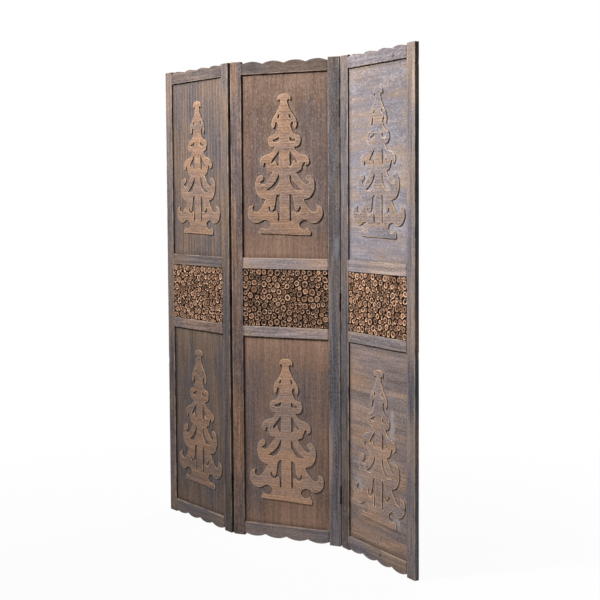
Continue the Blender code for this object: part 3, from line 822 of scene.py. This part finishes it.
def filled_outline(loops):
    """A flat face set, as a bmesh in X and Y, bounded by closed loops, the first round the others."""
    curve = bpy.data.curves.new("outline", "CURVE")
    curve.dimensions = "2D"
    curve.fill_mode = "FRONT"
    for loop in loops:
        spline = curve.splines.new("POLY")
        spline.points.add(len(loop) - 1)
        for point, (across, up) in zip(spline.points, loop):
            point.co = (across, up, 0.0, 1.0)
        spline.use_cyclic_u = True
    shape = bmesh.new()
    shape.from_mesh(evaluated_mesh(placed("outline", curve)))
    bmesh.ops.remove_doubles(shape, verts=shape.verts, dist=0.01 * MM)
    return shape


def signed_area(loop):
    """Above 0 if the closed loop runs counter-clockwise."""
    across, up = loop.T
    return (across * np.roll(up, -1) - np.roll(across, -1) * up).sum() / 2


def tree_loops():
    """The outline of the tree and of each hole in it, each a closed path with the wood on its right."""
    side = smooth_path(TREE_SIDE, closed=False)
    loops = [np.array(side + mirrored(side[1:-1]))]
    for places in TREE_HOLES:
        hole = smooth_path(places, closed=True)
        loops += [np.array(hole), np.array(mirrored(hole))]
    return [loops[0][:: -1 if signed_area(loops[0]) > 0 else 1]] + [
        loop[:: -1 if signed_area(loop) < 0 else 1] for loop in loops[1:]
    ]


def drawn_in(loop, everywhere, inset):
    """The closed loop moved into the wood by the inset, or by less where the wood is too narrow for that."""
    ahead = np.roll(loop, -1, axis=0) - loop
    ahead /= np.linalg.norm(ahead, axis=1)[:, None]
    normal = np.column_stack([ahead[:, 1], -ahead[:, 0]])
    inward = normal + np.roll(normal, 1, axis=0)
    inward /= np.linalg.norm(inward, axis=1)[:, None]
    corner = 1 / np.maximum((inward * normal).sum(axis=1), 0.6)
    # The circle that touches the loop here and passes through another point of the outline shows the room.
    apart = everywhere[None] - loop[:, None]
    along = (apart * inward[:, None]).sum(axis=2)
    ahead_of_it = along > 1e-6
    circle = np.where(ahead_of_it, (apart**2).sum(axis=2) / np.where(ahead_of_it, 2 * along, 1.0), np.inf)
    reach = np.minimum(inset * corner, 0.6 * circle.min(axis=1))
    return loop + inward * reach[:, None]


def mark_halo(mesh, foot, stretch):
    """Marks where the wash has gathered on the board's front, round a tree that stands on the foot."""
    outline = np.concatenate(TREE_LOOPS) * (1.0, stretch) + (foot.x, foot.z)
    halo = mesh.attributes.new("halo", "FLOAT", "POINT")
    for vert, value in zip(mesh.vertices, halo.data):
        distance = np.hypot(*(outline - (vert.co.x, vert.co.z)).T).min()
        if vert.co.y < BOARD_MIDDLE:
            value.value = max(0.0, 1.0 - distance / HALO_REACH)


def tree_mesh():
    """The tree as a plate with its edges eased, standing on height 0 with its middle at 0 across."""
    half = TREE_THICKNESS / 2
    turns = [math.pi / 2 * step / TREE_EASE_STEPS for step in range(TREE_EASE_STEPS + 1)]
    ease = [(TREE_EASE * (1 - math.sin(turn)), half - TREE_EASE * (1 - math.cos(turn))) for turn in turns]
    # Each row is an inset from the outline, a depth, the wear and the painted shade.
    front = [(TREE_WORN_RIM, -half, 0.0, 0.0), *((inset, -depth, TREE_WEAR, 0.0) for inset, depth in ease)]
    back = [(inset, -depth, wear, grime_and_shade) for inset, depth, wear, grime_and_shade in reversed(front)]
    everywhere = np.concatenate(TREE_LOOPS)
    shape = bmesh.new()
    wear_layer = shape.verts.layers.float.new("wear")
    grime_and_shade_layer = shape.verts.layers.float.new("grime_and_shade")
    for loop in TREE_LOOPS:
        rings = []
        for inset, depth, wear, grime_and_shade in front + [(0.0, 0.0, 0.0, TREE_SIDE_SHADE)] + back:
            ring = [shape.verts.new((across, depth, up)) for across, up in drawn_in(loop, everywhere, inset)]
            for vert in ring:
                vert[wear_layer] = wear
                vert[grime_and_shade_layer] = grime_and_shade
            rings.append(ring)
        bridge(shape, rings)
    face = filled_outline([drawn_in(loop, everywhere, TREE_WORN_RIM) for loop in TREE_LOOPS])
    face.transform(Matrix.Rotation(math.pi / 2, 4, "X"))
    cap = mesh_from(face, "tree_face")
    for move in (-half, 2 * half):
        cap.transform(Matrix.Translation((0.0, move, 0.0)))
        shape.from_mesh(cap)
    bmesh.ops.remove_doubles(shape, verts=shape.verts, dist=TREE_WELD)
    return mesh_from(shape, "fretwork_tree")


# The twig slices.


def packed_circles(rng, limits):
    """Places (across, up) and radii of circles that crowd a rectangle of these sizes, the larger first."""
    columns = (np.arange(SLICE_COLUMNS) + 0.5) / SLICE_COLUMNS
    rows = (np.arange(SLICE_ROWS) + 0.5) / SLICE_ROWS
    places = np.stack(np.meshgrid(columns, rows), axis=-1).reshape(-1, 2) * limits
    places += rng.normal(0.0, SLICE_SCATTER, places.shape)
    radii = rng.triangular(*SLICE_RADII, len(places))
    for _ in range(SLICE_ROUNDS):
        apart = places[:, None] - places[None]
        distance = np.linalg.norm(apart, axis=2) + np.eye(len(places))
        overlap = np.maximum(radii[:, None] + radii[None] - distance, 0.0)
        np.fill_diagonal(overlap, 0.0)
        places = places + (apart / distance[..., None] * overlap[..., None]).sum(axis=1) * SLICE_PUSH
        places = np.clip(places, radii[:, None], limits - radii[:, None])
    samples = rng.uniform((0.0, 0.0), limits, (FILLER_TRIES, 2))
    room = np.minimum(samples, limits - samples).min(axis=1)
    for place, radius in zip(places, radii):
        room = np.minimum(room, np.linalg.norm(samples - place, axis=1) - radius * 0.97)
    least, largest = FILLER_RADII
    while room.max() > least:
        best = room.argmax()
        radius = min(room[best] * 1.08, largest)
        places = np.vstack([places, samples[best]])
        radii = np.append(radii, radius)
        room = np.minimum(room, np.linalg.norm(samples - samples[best], axis=1) - radius)
    return places, radii


def wall_at(distance, facing):
    """How far away, at each angle, a straight wall stands, which is at the distance where it is faced."""
    return np.where(facing > 0.05, distance / np.maximum(facing, 1e-3), np.inf)


def slice_outlines(rng, places, radii, limits):
    """Each slice's radius at SLICE_ANGLES: a lopsided circle pressed flat against its neighbours."""
    count = len(radii)
    lumps = np.ones((count, SLICE_SIDES))
    for waves, size in SLICE_LUMPS:
        phase = rng.uniform(0, 2 * math.pi, (count, 1))
        lumps += size * rng.uniform(0.3, 1.0, (count, 1)) * np.sin(waves * SLICE_ANGLES + phase)
    crowding = (radii[:, None] * 1.06 * lumps) ** -PRESSING

    apart = places[None] - places[:, None]
    distance = np.linalg.norm(apart, axis=2) + np.eye(count)
    share = (distance**2 + radii[:, None] ** 2 - radii[None] ** 2) / (2 * distance) - SLICE_GAP / 2
    bearing = np.arctan2(apart[..., 1], apart[..., 0])
    pressed = wall_at(share[..., None], np.cos(SLICE_ANGLES - bearing[..., None]))
    pressed[distance >= NEIGHBOUR_REACH] = np.inf
    pressed[np.arange(count), np.arange(count)] = np.inf
    crowding += (pressed**-PRESSING).sum(axis=1)
    for quarter, room in enumerate((*(limits - places).T, *places.T)):
        facing = np.cos(SLICE_ANGLES - quarter * math.pi / 2)
        crowding += wall_at(room[:, None] - SLICE_GAP / 2, facing) ** -PRESSING
    return crowding ** (-1 / PRESSING)


def add_slice(shape, layers, rng, centre, outline, seed):
    """Adds one slice: its face with a pith hole and a rounded bark edge, its side and its flat back."""
    place_layer, reach_layer = layers
    face_depth = rng.uniform(0.2 * MM, 4.2 * MM)
    lean_across, lean_up = rng.normal(0.0, 0.09, 2)
    heart_across, heart_up = rng.normal(0.0, 0.05, 2) * outline.mean()
    hollow = rng.choice([0.12, 0.20, 0.28, 0.36])
    hollow_depth = rng.uniform(0.5 * MM, 3.2 * MM)
    rise = rng.uniform(0.3 * MM, 1.5 * MM)
    # Each row is a share of the slice's radius and a depth below its face.
    profile = [
        (hollow * 0.5, hollow_depth), (hollow * 0.85, hollow_depth * 0.85), (hollow + 0.03, 0.2 * MM),
        (0.50, 0.0), (0.66, -rise * 0.3), (0.76, -rise), (0.87, -rise), (0.93, -rise * 0.3),
        (0.97, 0.5 * MM), (1.0, 1.4 * MM), (0.99, 2.8 * MM),
    ]

    def ring_at(share, depth):
        ring = []
        for angle, radius in zip(SLICE_ANGLES, outline):
            across = share * radius * math.cos(angle) + heart_across * (1 - share)
            up = share * radius * math.sin(angle) + heart_up * (1 - share)
            saw = 0.08 * MM * wobble(across * 900 + seed * 50, up * 900, seed * 9)
            y = face_depth + depth + lean_across * across + lean_up * up + saw
            y = min(max(y, 0.0), TWIG_HIGH.y - 0.3 * MM)
            vert = shape.verts.new((centre[0] + across, y, centre[1] + up))
            vert[place_layer] = (across - heart_across, up - heart_up, seed)
            vert[reach_layer] = share
            ring.append(vert)
        return ring

    rings = [ring_at(share, depth) for share, depth in profile]
    back = ring_at(0.98, 0.0)
    for vert in back:
        vert.co.y = TWIG_HIGH.y
        vert[reach_layer] = 1.0
    bridge(shape, rings + [back])
    shape.faces.new(rings[0])
    shape.faces.new(back)


def twig_band_mesh(seed):
    """All the slices of one panel, each a closed body of its own."""
    rng = np.random.default_rng(seed)
    limits = np.array([TWIG_HIGH.x - TWIG_LOW.x, TWIG_HIGH.z - TWIG_LOW.z])
    places, radii = packed_circles(rng, limits)
    outlines = slice_outlines(rng, places, radii, limits)
    shape = bmesh.new()
    new_layer = shape.verts.layers
    layers = (new_layer.float_vector.new("slice_place"), new_layer.float.new("slice_reach"))
    for (across, up), outline in zip(places, outlines):
        centre = (TWIG_LOW.x + across, TWIG_LOW.z + up)
        add_slice(shape, layers, rng, centre, outline, rng.uniform())
    return mesh_from(shape, "twig_infill")


# The hinges, with the pin along Z at the origin and the stiles' end faces at each side of it, toward -Y.


def box_mesh(low, high):
    low, high = Vector(low), Vector(high)
    shape = bmesh.new()
    stretch = Matrix.Diagonal((*(high - low), 1.0))
    bmesh.ops.create_cube(shape, size=1.0, matrix=Matrix.Translation((low + high) / 2) @ stretch)
    return mesh_from(shape, "box")


def rod_mesh(start, end, start_radius, end_radius):
    start, end = Vector(start), Vector(end)
    turn = (end - start).to_track_quat("Z", "Y").to_matrix().to_4x4()
    shape = bmesh.new()
    bmesh.ops.create_cone(
        shape,
        cap_ends=True,
        segments=BARREL_SIDES,
        radius1=start_radius,
        radius2=end_radius,
        depth=(end - start).length,
        matrix=Matrix.Translation((start + end) / 2) @ turn,
    )
    return mesh_from(shape, "rod")


def evaluated_mesh(obj):
    """The object's mesh with its modifiers worked out. The object is removed."""
    graph = bpy.context.evaluated_depsgraph_get()
    mesh = bpy.data.meshes.new_from_object(obj.evaluated_get(graph))
    bpy.data.objects.remove(obj)
    return mesh


def combined(body, tool, operation):
    """The body with the tool joined to it (UNION) or cut from it (DIFFERENCE)."""
    body_object = placed("body", body)
    tool_object = placed("tool", tool)
    modifier = body_object.modifiers.new(operation.title(), "BOOLEAN")
    modifier.operation = operation
    modifier.object = tool_object
    result = evaluated_mesh(body_object)
    bpy.data.objects.remove(tool_object)
    return result


def softened(mesh, width):
    """The mesh with its sharp edges rounded by the width."""
    obj = placed("softened", mesh)
    bevel = obj.modifiers.new("Bevel", "BEVEL")
    bevel.width = width
    bevel.segments = 2
    bevel.limit_method = "ANGLE"
    bevel.angle_limit = math.radians(50)
    return evaluated_mesh(obj)


def knuckle_span(knuckle):
    """The bottom and top of one knuckle of the barrel."""
    pitch = (HINGE_HEIGHT + KNUCKLE_GAP) / KNUCKLE_COUNT
    bottom = pitch * knuckle - HINGE_HEIGHT / 2
    return bottom, bottom + pitch - KNUCKLE_GAP


def leaf_mesh(knuckles):
    """The leaf on the +X side, which carries these knuckles of the barrel."""
    inner_face = LEAF_AIR
    outer_face = LEAF_AIR + LEAF_THICKNESS
    near_edge = -BARREL_RADIUS - KNUCKLE_GAP
    half_height = HINGE_HEIGHT / 2
    far_edge = -PIN_STANDOFF - LEAF_REACH
    leaf = box_mesh((inner_face, far_edge, -half_height), (outer_face, near_edge, half_height))
    for knuckle in knuckles:
        bottom, top = knuckle_span(knuckle)
        tab = box_mesh((inner_face, near_edge - LEAF_THICKNESS, bottom), (outer_face, -BORE_RADIUS, top))
        barrel = rod_mesh((0.0, 0.0, bottom), (0.0, 0.0, top), BARREL_RADIUS, BARREL_RADIUS)
        leaf = combined(leaf, combined(tab, barrel, "UNION"), "UNION")
    bore = rod_mesh((0.0, 0.0, -HINGE_HEIGHT), (0.0, 0.0, HINGE_HEIGHT), BORE_RADIUS, BORE_RADIUS)
    leaf = combined(leaf, bore, "DIFFERENCE")
    flare = SCREW_SINK_RADIUS - SCREW_HOLE_RADIUS
    for row in (-1, 0, 1):
        start = (inner_face - LEAF_THICKNESS, -SCREW_PLACE, row * SCREW_SPACING)
        end = (outer_face + LEAF_THICKNESS / 2, -SCREW_PLACE, row * SCREW_SPACING)
        sink = rod_mesh(start, end, SCREW_SINK_RADIUS + flare, SCREW_HOLE_RADIUS - flare / 2)
        leaf = combined(leaf, sink, "DIFFERENCE")
    return smooth_shaded(softened(leaf, LEAF_EASE))


def turned(profile):
    """A closed solid turned about Z from (radius, height) points that start and end on the axis."""
    shape = bmesh.new()
    verts = [shape.verts.new((radius, 0.0, height)) for radius, height in profile]
    edges = [shape.edges.new(pair) for pair in zip(verts, verts[1:])]
    whole_turn = {"cent": (0.0, 0.0, 0.0), "axis": (0.0, 0.0, 1.0), "angle": 2 * math.pi, "use_merge": True}
    bmesh.ops.spin(shape, geom=verts + edges, steps=TURNED_SIDES, **whole_turn)
    bmesh.ops.remove_doubles(shape, verts=shape.verts, dist=WELD)
    return mesh_from(shape, "turned")


def pin_mesh():
    """A hinge pin with a domed head at each end."""
    shank_end = HINGE_HEIGHT / 2 + FIT_GAP
    dome = [
        (PIN_HEAD_RADIUS * math.sin(turn), shank_end + PIN_HEAD_HEIGHT * (0.45 + 0.55 * math.cos(turn)))
        for turn in (math.pi / 2 * step / 5 for step in range(6))
    ]
    half = dome + [(PIN_HEAD_RADIUS, shank_end), (PIN_RADIUS, shank_end)]
    return smooth_shaded(turned(half + [(radius, -height) for radius, height in reversed(half)]))


def screw_mesh():
    """A countersunk wood screw that points along +X, with its cross-slotted head on the leaf's inner face."""
    head_radius = SCREW_SINK_RADIUS - 0.15 * MM
    sink_slope = LEAF_THICKNESS * head_radius / (SCREW_SINK_RADIUS - SCREW_HOLE_RADIUS)
    neck = SCREW_HOLE_RADIUS - 0.3 * MM
    head_depth = min(sink_slope, LEAF_THICKNESS + 0.1 * MM)
    profile = [(0.0, 0.0), (head_radius * 0.9, 0.0), (head_radius, -0.08 * MM), (neck, -head_depth)]
    first_thread = head_depth + 1.0 * MM
    for thread in range(SCREW_THREADS):
        start = first_thread + thread * SCREW_PITCH
        taper = 1.0 - 0.35 * thread / SCREW_THREADS
        profile += [(SCREW_CORE * taper, -start), (neck * taper, -start - SCREW_PITCH / 2)]
    profile += [(0.0, -first_thread - (SCREW_THREADS + 1.5) * SCREW_PITCH)]
    screw = turned(profile)
    for turn in (0.0, math.pi / 2):
        slot = box_mesh((-SLOT_REACH, -SLOT_WIDTH / 2, -SLOT_DEPTH), (SLOT_REACH, SLOT_WIDTH / 2, 1.0 * MM))
        slot.transform(Matrix.Rotation(turn, 4, "Z"))
        screw = combined(screw, slot, "DIFFERENCE")
    lay = Matrix.Translation((LEAF_AIR + 0.05 * MM, 0.0, 0.0)) @ Matrix.Rotation(-math.pi / 2, 4, "Y")
    screw.transform(lay)
    return smooth_shaded(screw)


# The pieces in their places.


def add_piece(name, mesh, material, matrix, body, slot, *nodes):
    """Puts the mesh in its place, as a piece that rides on the body and stands for the nodes."""
    piece = placed(name, mesh)
    mesh.materials.clear()
    mesh.materials.append(material)
    piece.matrix_world = matrix
    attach(piece, body)
    if nodes:
        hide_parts(*nodes)


PLAIN_FINISH = {
    "contrast": 1.0,
    "hue": 0.6,
    "patchy": 0.10,
    "lift": 0.0,
    "wash": 0.3,
    "stripes": 0.0,
    "stripe_period": 9 * MM,
    "end_warmth": 0.0,
    "end_light": 0.0,
    "flecks": 0.55,
    "edge": WORN_COLOUR,
    "blooms": (),
    "knots": (),
}

# Wood tones, as linear red, green and blue.
BROWN = (0.160, 0.115, 0.097)
TAUPE = (0.160, 0.130, 0.119)
SLATE = (0.150, 0.133, 0.134)
OCHRE = (0.168, 0.117, 0.090)
SILVER = (0.160, 0.140, 0.138)
RUSSET = (0.168, 0.130, 0.113)


def finish(tone, brightness, **extras):
    """A wood finish: its tone made brighter or darker, and how it differs from the plain finish."""
    return {**PLAIN_FINISH, "tone": shade(tone, brightness), **extras}


def stile_finish(tone, brightness, **extras):
    """The finish of a stile, with a stronger and more uneven grain."""
    return finish(tone, brightness, **{"contrast": 1.5, "patchy": 0.16, **extras})


def tree_finish(tone, brightness, **extras):
    """The finish of a fretwork tree: faint lines across it, and edges worn to bare wood."""
    plain = {"edge": WORN_TREE_COLOUR, "stripes": 0.06, "stripe_period": 10 * MM, "contrast": 0.7}
    return finish(tone, brightness, **{**plain, **extras})


# Marks that are on one piece only: the middle (across, up) and the reach (across, up) of each.
RIGHT_STILE_BLOOMS = [
    ((428 * MM, 1105 * MM), (11 * MM, 65 * MM)),
    ((424 * MM, 80 * MM), (3 * MM, 24 * MM)),
]
LOWER_BOARD_BLOOMS = [
    ((105 * MM, 235 * MM), (40 * MM, 70 * MM)),
    ((300 * MM, 490 * MM), (22 * MM, 90 * MM)),
    ((325 * MM, 165 * MM), (30 * MM, 28 * MM)),
    ((80 * MM, 336 * MM), (40 * MM, 2.5 * MM)),
    ((360 * MM, 330 * MM), (38 * MM, 2.5 * MM)),
]

FINISHES = {
    "left": {
        "left_stile": stile_finish(TAUPE, 0.9, wash=0.35, lift=0.12, contrast=1.3),
        "right_stile": stile_finish(TAUPE, 0.66, wash=0.3, hue=0.9, lift=0.3),
        "top_rail": finish(TAUPE, 0.6, wash=0.4, contrast=1.6),
        "upper_mid_rail": finish(TAUPE, 0.76, contrast=1.5),
        "lower_mid_rail": finish(TAUPE, 0.98, wash=0.4, contrast=1.5),
        "bottom_rail": finish(SLATE, 0.84, contrast=0.7),
        "upper_board": finish(TAUPE, 0.70, contrast=0.8, stripes=0.10, stripe_period=20 * MM, end_light=0.03),
        "lower_board": finish(TAUPE, 0.67, wash=0.2, hue=0.7, end_light=0.05, end_warmth=0.14),
        "upper_tree": tree_finish(OCHRE, 1.32, wash=0.15),
        "lower_tree": tree_finish(OCHRE, 1.15, wash=0.1),
    },
    "middle": {
        "left_stile": stile_finish(BROWN, 0.93, wash=0.25, hue=0.9),
        "right_stile": stile_finish(SLATE, 0.84, wash=0.5, lift=-0.45, blooms=RIGHT_STILE_BLOOMS),
        "top_rail": finish(TAUPE, 0.5),
        "upper_mid_rail": finish(TAUPE, 1.8, wash=0.4),
        "lower_mid_rail": finish(TAUPE, 1.85),
        "bottom_rail": finish(SLATE, 1.2),
        "upper_board": finish(
            BROWN, 1.02, wash=0.2, contrast=0.75, lift=-0.42, end_warmth=0.24, end_light=0.10
        ),
        "lower_board": finish(
            BROWN, 1.1, wash=0.15, contrast=0.8, lift=0.12, end_warmth=0.22, end_light=0.11
        ),
        "upper_tree": tree_finish(OCHRE, 1.35, wash=0.15),
        "lower_tree": tree_finish(OCHRE, 1.92, wash=0.1, contrast=0.6),
    },
    "right": {
        # The right panel's left stile has its worn edge paler still: a painted highlight along it.
        "left_stile": stile_finish(SLATE, 0.70, wash=0.5, lift=0.42, edge=shade(WORN_COLOUR, 1.3)),
        "right_stile": stile_finish(SILVER, 1.12, wash=0.4, hue=0.8),
        "top_rail": finish(SILVER, 1.3, wash=0.4, knots=[(320 * MM, 1765 * MM)]),
        "upper_mid_rail": finish(SILVER, 1.75, contrast=1.2),
        "lower_mid_rail": finish(SILVER, 1.25, contrast=1.4),
        "bottom_rail": finish(SILVER, 0.95, hue=0.9, contrast=1.4, knots=[(240 * MM, 35 * MM)]),
        "upper_board": finish(SILVER, 1.78, wash=0.4, hue=0.9, contrast=0.5, flecks=0.3, lift=-0.4),
        "lower_board": finish(RUSSET, 1.45, hue=0.7, wash=0.4, lift=0.18, blooms=LOWER_BOARD_BLOOMS),
        "upper_tree": tree_finish(SILVER, 1.3, wash=0.4, hue=0.9, edge=shade(WORN_TREE_COLOUR, 1.2)),
        "lower_tree": tree_finish(RUSSET, 1.5, hue=0.7, wash=0.4, edge=shade(WORN_TREE_COLOUR, 1.4)),
    },
}
BACKING_FINISH = finish(BROWN, 0.9)

STILES = {"left_stile": (0.0, INNER_LEFT), "right_stile": (PANEL_WIDTH, INNER_RIGHT)}
RAILS = ("top_rail", "upper_mid_rail", "lower_mid_rail", "bottom_rail")
BOARDS = ("upper_board", "lower_board", "twig_backing_board")
TREES = ("upper_tree", "lower_tree")


def add_panel(side, seed):
    """The wooden pieces and the twig band of one panel."""
    body = f"{side}_panel"
    matrix = panel_matrix(side)
    finishes = {**FINISHES[side], "twig_backing_board": BACKING_FINISH}
    wood_seeds = itertools.count(seed)

    def add(piece, mesh, material, slot):
        add_piece(f"detailed_{body}_{piece}", mesh, material, matrix, body, slot, f"{body}_{piece}")

    def add_wood(piece, mesh, grain, slot):
        wood = weathered_wood(f"{body}_{piece}_wood", finishes[piece], grain, next(wood_seeds))
        add(piece, mesh, wood, slot)

    for number, (piece, (outer, inner)) in enumerate(STILES.items()):
        mesh = stile_mesh(piece, outer, inner, seed * 7.3 + number)
        add_wood(piece, smooth_shaded(mesh), "up", "frame_wood")
    for number, piece in enumerate(RAILS):
        mesh = rail_mesh(piece, seed * 5.9 + number)
        add_wood(piece, smooth_shaded(mesh), "across", "frame_wood")
    board_meshes = {}
    for number, piece in enumerate(BOARDS):
        front_glue_and_shade = GLUE_AND_SHADE if piece == "twig_backing_board" else 0.0
        board_meshes[piece] = smooth_shaded(board_mesh(piece, seed * 3.1 + number, front_glue_and_shade))
        add_wood(piece, board_meshes[piece], "across" if side == "right" else "up", "board_wood")
    for piece, board in zip(TREES, BOARDS):
        low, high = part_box(f"{body}_{piece}")
        foot = matrix.inverted() @ ((low + high) / 2)
        foot.z = low.z
        stretch = (high.z - low.z) / TREE_HEIGHT
        mark_halo(board_meshes[board], foot, stretch)
        mesh = TREE_MESH.copy()
        mesh.transform(Matrix.Translation(foot) @ Matrix.Diagonal((1.0, 1.0, stretch, 1.0)))
        add_wood(piece, smooth_shaded(mesh, 50.0), "across", "fretwork_wood")
    wood = slice_wood(f"{body}_twig_slice_wood", SLICE_BRIGHTNESS[side])
    add("twig_infill", smooth_shaded(twig_band_mesh(40 + seed), 60.0), wood, "twig_slices")


def add_hinges(side):
    """The three hinges between the middle panel and a side panel, with their screws."""
    axis = Vector(joint_named(f"{side}_fold")["pos_m"])
    half_turn = Matrix.Rotation(math.pi, 4, "Z") if side == "right" else Matrix.Identity(4)
    upside_down = Matrix.Rotation(math.pi, 4, "Y")
    for place in HINGE_PLACES:
        hinge = f"{side}_{place}_hinge"
        low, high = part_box(f"{hinge}_pin")
        height = Matrix.Translation((0.0, 0.0, (low.z + high.z) / 2))
        on_middle = Matrix.Translation((axis.x, axis.y, 0.0)) @ half_turn @ height
        on_side = fold_matrix(side) @ half_turn @ height @ upside_down

        def add(part, mesh, at, body, *nodes):
            add_piece(part, mesh, BRONZE, at, body, "hinge_metal", *nodes)

        for leaf, at, body, mesh in (
            (f"{hinge}_fixed_leaf", on_middle, "middle_panel", FIXED_LEAF_MESH),
            (f"{hinge}_moving_leaf", on_side, f"{side}_panel", MOVING_LEAF_MESH),
        ):
            add(f"detailed_{leaf}", mesh, at, body, leaf)
            for row in (-1, 0, 1):
                spot = Matrix.Translation((0.0, -SCREW_PLACE, row * SCREW_SPACING))
                spin = Matrix.Rotation(0.9 * row + 0.4, 4, "X")
                add(f"{leaf}_screw_{row + 2}", SCREW_MESH, at @ spot @ spin, body)
        add(f"detailed_{hinge}_pin", PIN_MESH, on_middle, "middle_panel", f"{hinge}_pin")


# The stage, the lights and the camera.


def add_floor():
    """A pale floor that fades into the white ground round it."""
    shape = bmesh.new()
    bmesh.ops.create_circle(shape, cap_ends=True, segments=96, radius=FLOOR_RADIUS)
    floor = placed("floor", mesh_from(shape, "floor"))
    shader = Shader("pale_floor")
    mottle = shader.noise(shader.own_place(), 6.0, detail=3.0)
    shader.coat(shader.ramp(mottle, [(0.3, 0.80), (0.7, 0.84)]), 0.9, specular=0.1)
    distance = shader.length(shader.own_place())
    fade = shader.ramp(shader.calc("DIVIDE", distance, FLOOR_FADE_REACH), [(0.25, 0.95), (0.7, 1.0)])
    seen = shader.node("LightPath", "Is Camera Ray", {})
    white = shader.node("Emission", "Emission", {})
    inputs = {0: shader.times(fade, seen), 1: shader.surface.outputs["BSDF"], 2: white}
    output = shader.tree.nodes["Material Output"]
    shader.feed(output.inputs["Surface"], shader.node("MixShader", "Shader", inputs))
    floor.data.materials.append(shader.material)


def add_world():
    """White where the camera sees it, and a dimmer even light on everything else."""
    world = bpy.data.worlds.new("studio")
    world.use_nodes = True
    nodes, links = world.node_tree.nodes, world.node_tree.links
    even = nodes["Background"]
    even.inputs["Color"].default_value = (0.92, 0.96, 1.0, 1.0)
    even.inputs["Strength"].default_value = 0.09
    backdrop = nodes.new("ShaderNodeBackground")
    backdrop.inputs["Color"].default_value = (1.0, 1.0, 1.0, 1.0)
    seen = nodes.new("ShaderNodeLightPath")
    blend = nodes.new("ShaderNodeMixShader")
    links.new(seen.outputs["Is Camera Ray"], blend.inputs["Fac"])
    links.new(even.outputs["Background"], blend.inputs[1])
    links.new(backdrop.outputs["Background"], blend.inputs[2])
    links.new(blend.outputs["Shader"], nodes["World Output"].inputs["Surface"])
    bpy.context.scene.world = world


def add_softbox(name, place, target, size, spread, power, colour):
    light = bpy.data.lights.new(name, "AREA")
    light.shape = "DISK"
    light.size = size
    light.spread = math.radians(spread)
    light.energy = power
    light.color = colour
    lamp = placed(name, light)
    lamp.location = place
    lamp.rotation_euler = (Vector(target) - Vector(place)).to_track_quat("-Z", "Y").to_euler()


def add_lights():
    add_softbox("key", (-2.0, -2.3, 3.7), (0.0, 0.0, 2.2), 0.8, 80.0, 72.0, (1.0, 0.97, 0.93))
    add_softbox("fill", (2.6, -3.2, 2.6), (0.0, 0.0, 1.2), 2.0, 180.0, 4.5, (0.95, 0.97, 1.0))
    add_softbox("back_fill", (0.4, 3.4, 2.6), (0.0, 0.0, 1.0), 2.2, 180.0, 100.0, (1.0, 0.99, 0.97))


def add_camera():
    camera = bpy.data.cameras.new("camera")
    camera.lens = CAMERA_LENS
    camera.shift_y = CAMERA_SHIFT
    eye = placed("camera", camera)
    heading = Matrix.Rotation(CAMERA_HEADING, 4, "Z")
    dip = Matrix.Rotation(math.pi / 2 - CAMERA_DIP, 4, "X")
    roll = Matrix.Rotation(CAMERA_ROLL, 4, "Z")
    eye.matrix_world = Matrix.Translation(CAMERA_PLACE) @ heading @ dip @ roll
    bpy.context.scene.camera = eye
    bpy.context.scene.view_settings.view_transform = "Standard"


TREE_LOOPS = tree_loops()
TREE_MESH = tree_mesh()
FIXED_LEAF_MESH = leaf_mesh(range(0, KNUCKLE_COUNT, 2))
MOVING_LEAF_MESH = leaf_mesh(range(1, KNUCKLE_COUNT, 2))
PIN_MESH = pin_mesh()
SCREW_MESH = screw_mesh()
BRONZE = dark_bronze()

for panel_number, panel_side in enumerate(SIDES):
    add_panel(panel_side, 1 + 12 * panel_number)
add_hinges("left")
add_hinges("right")
add_floor()
add_world()
add_lights()
add_camera()
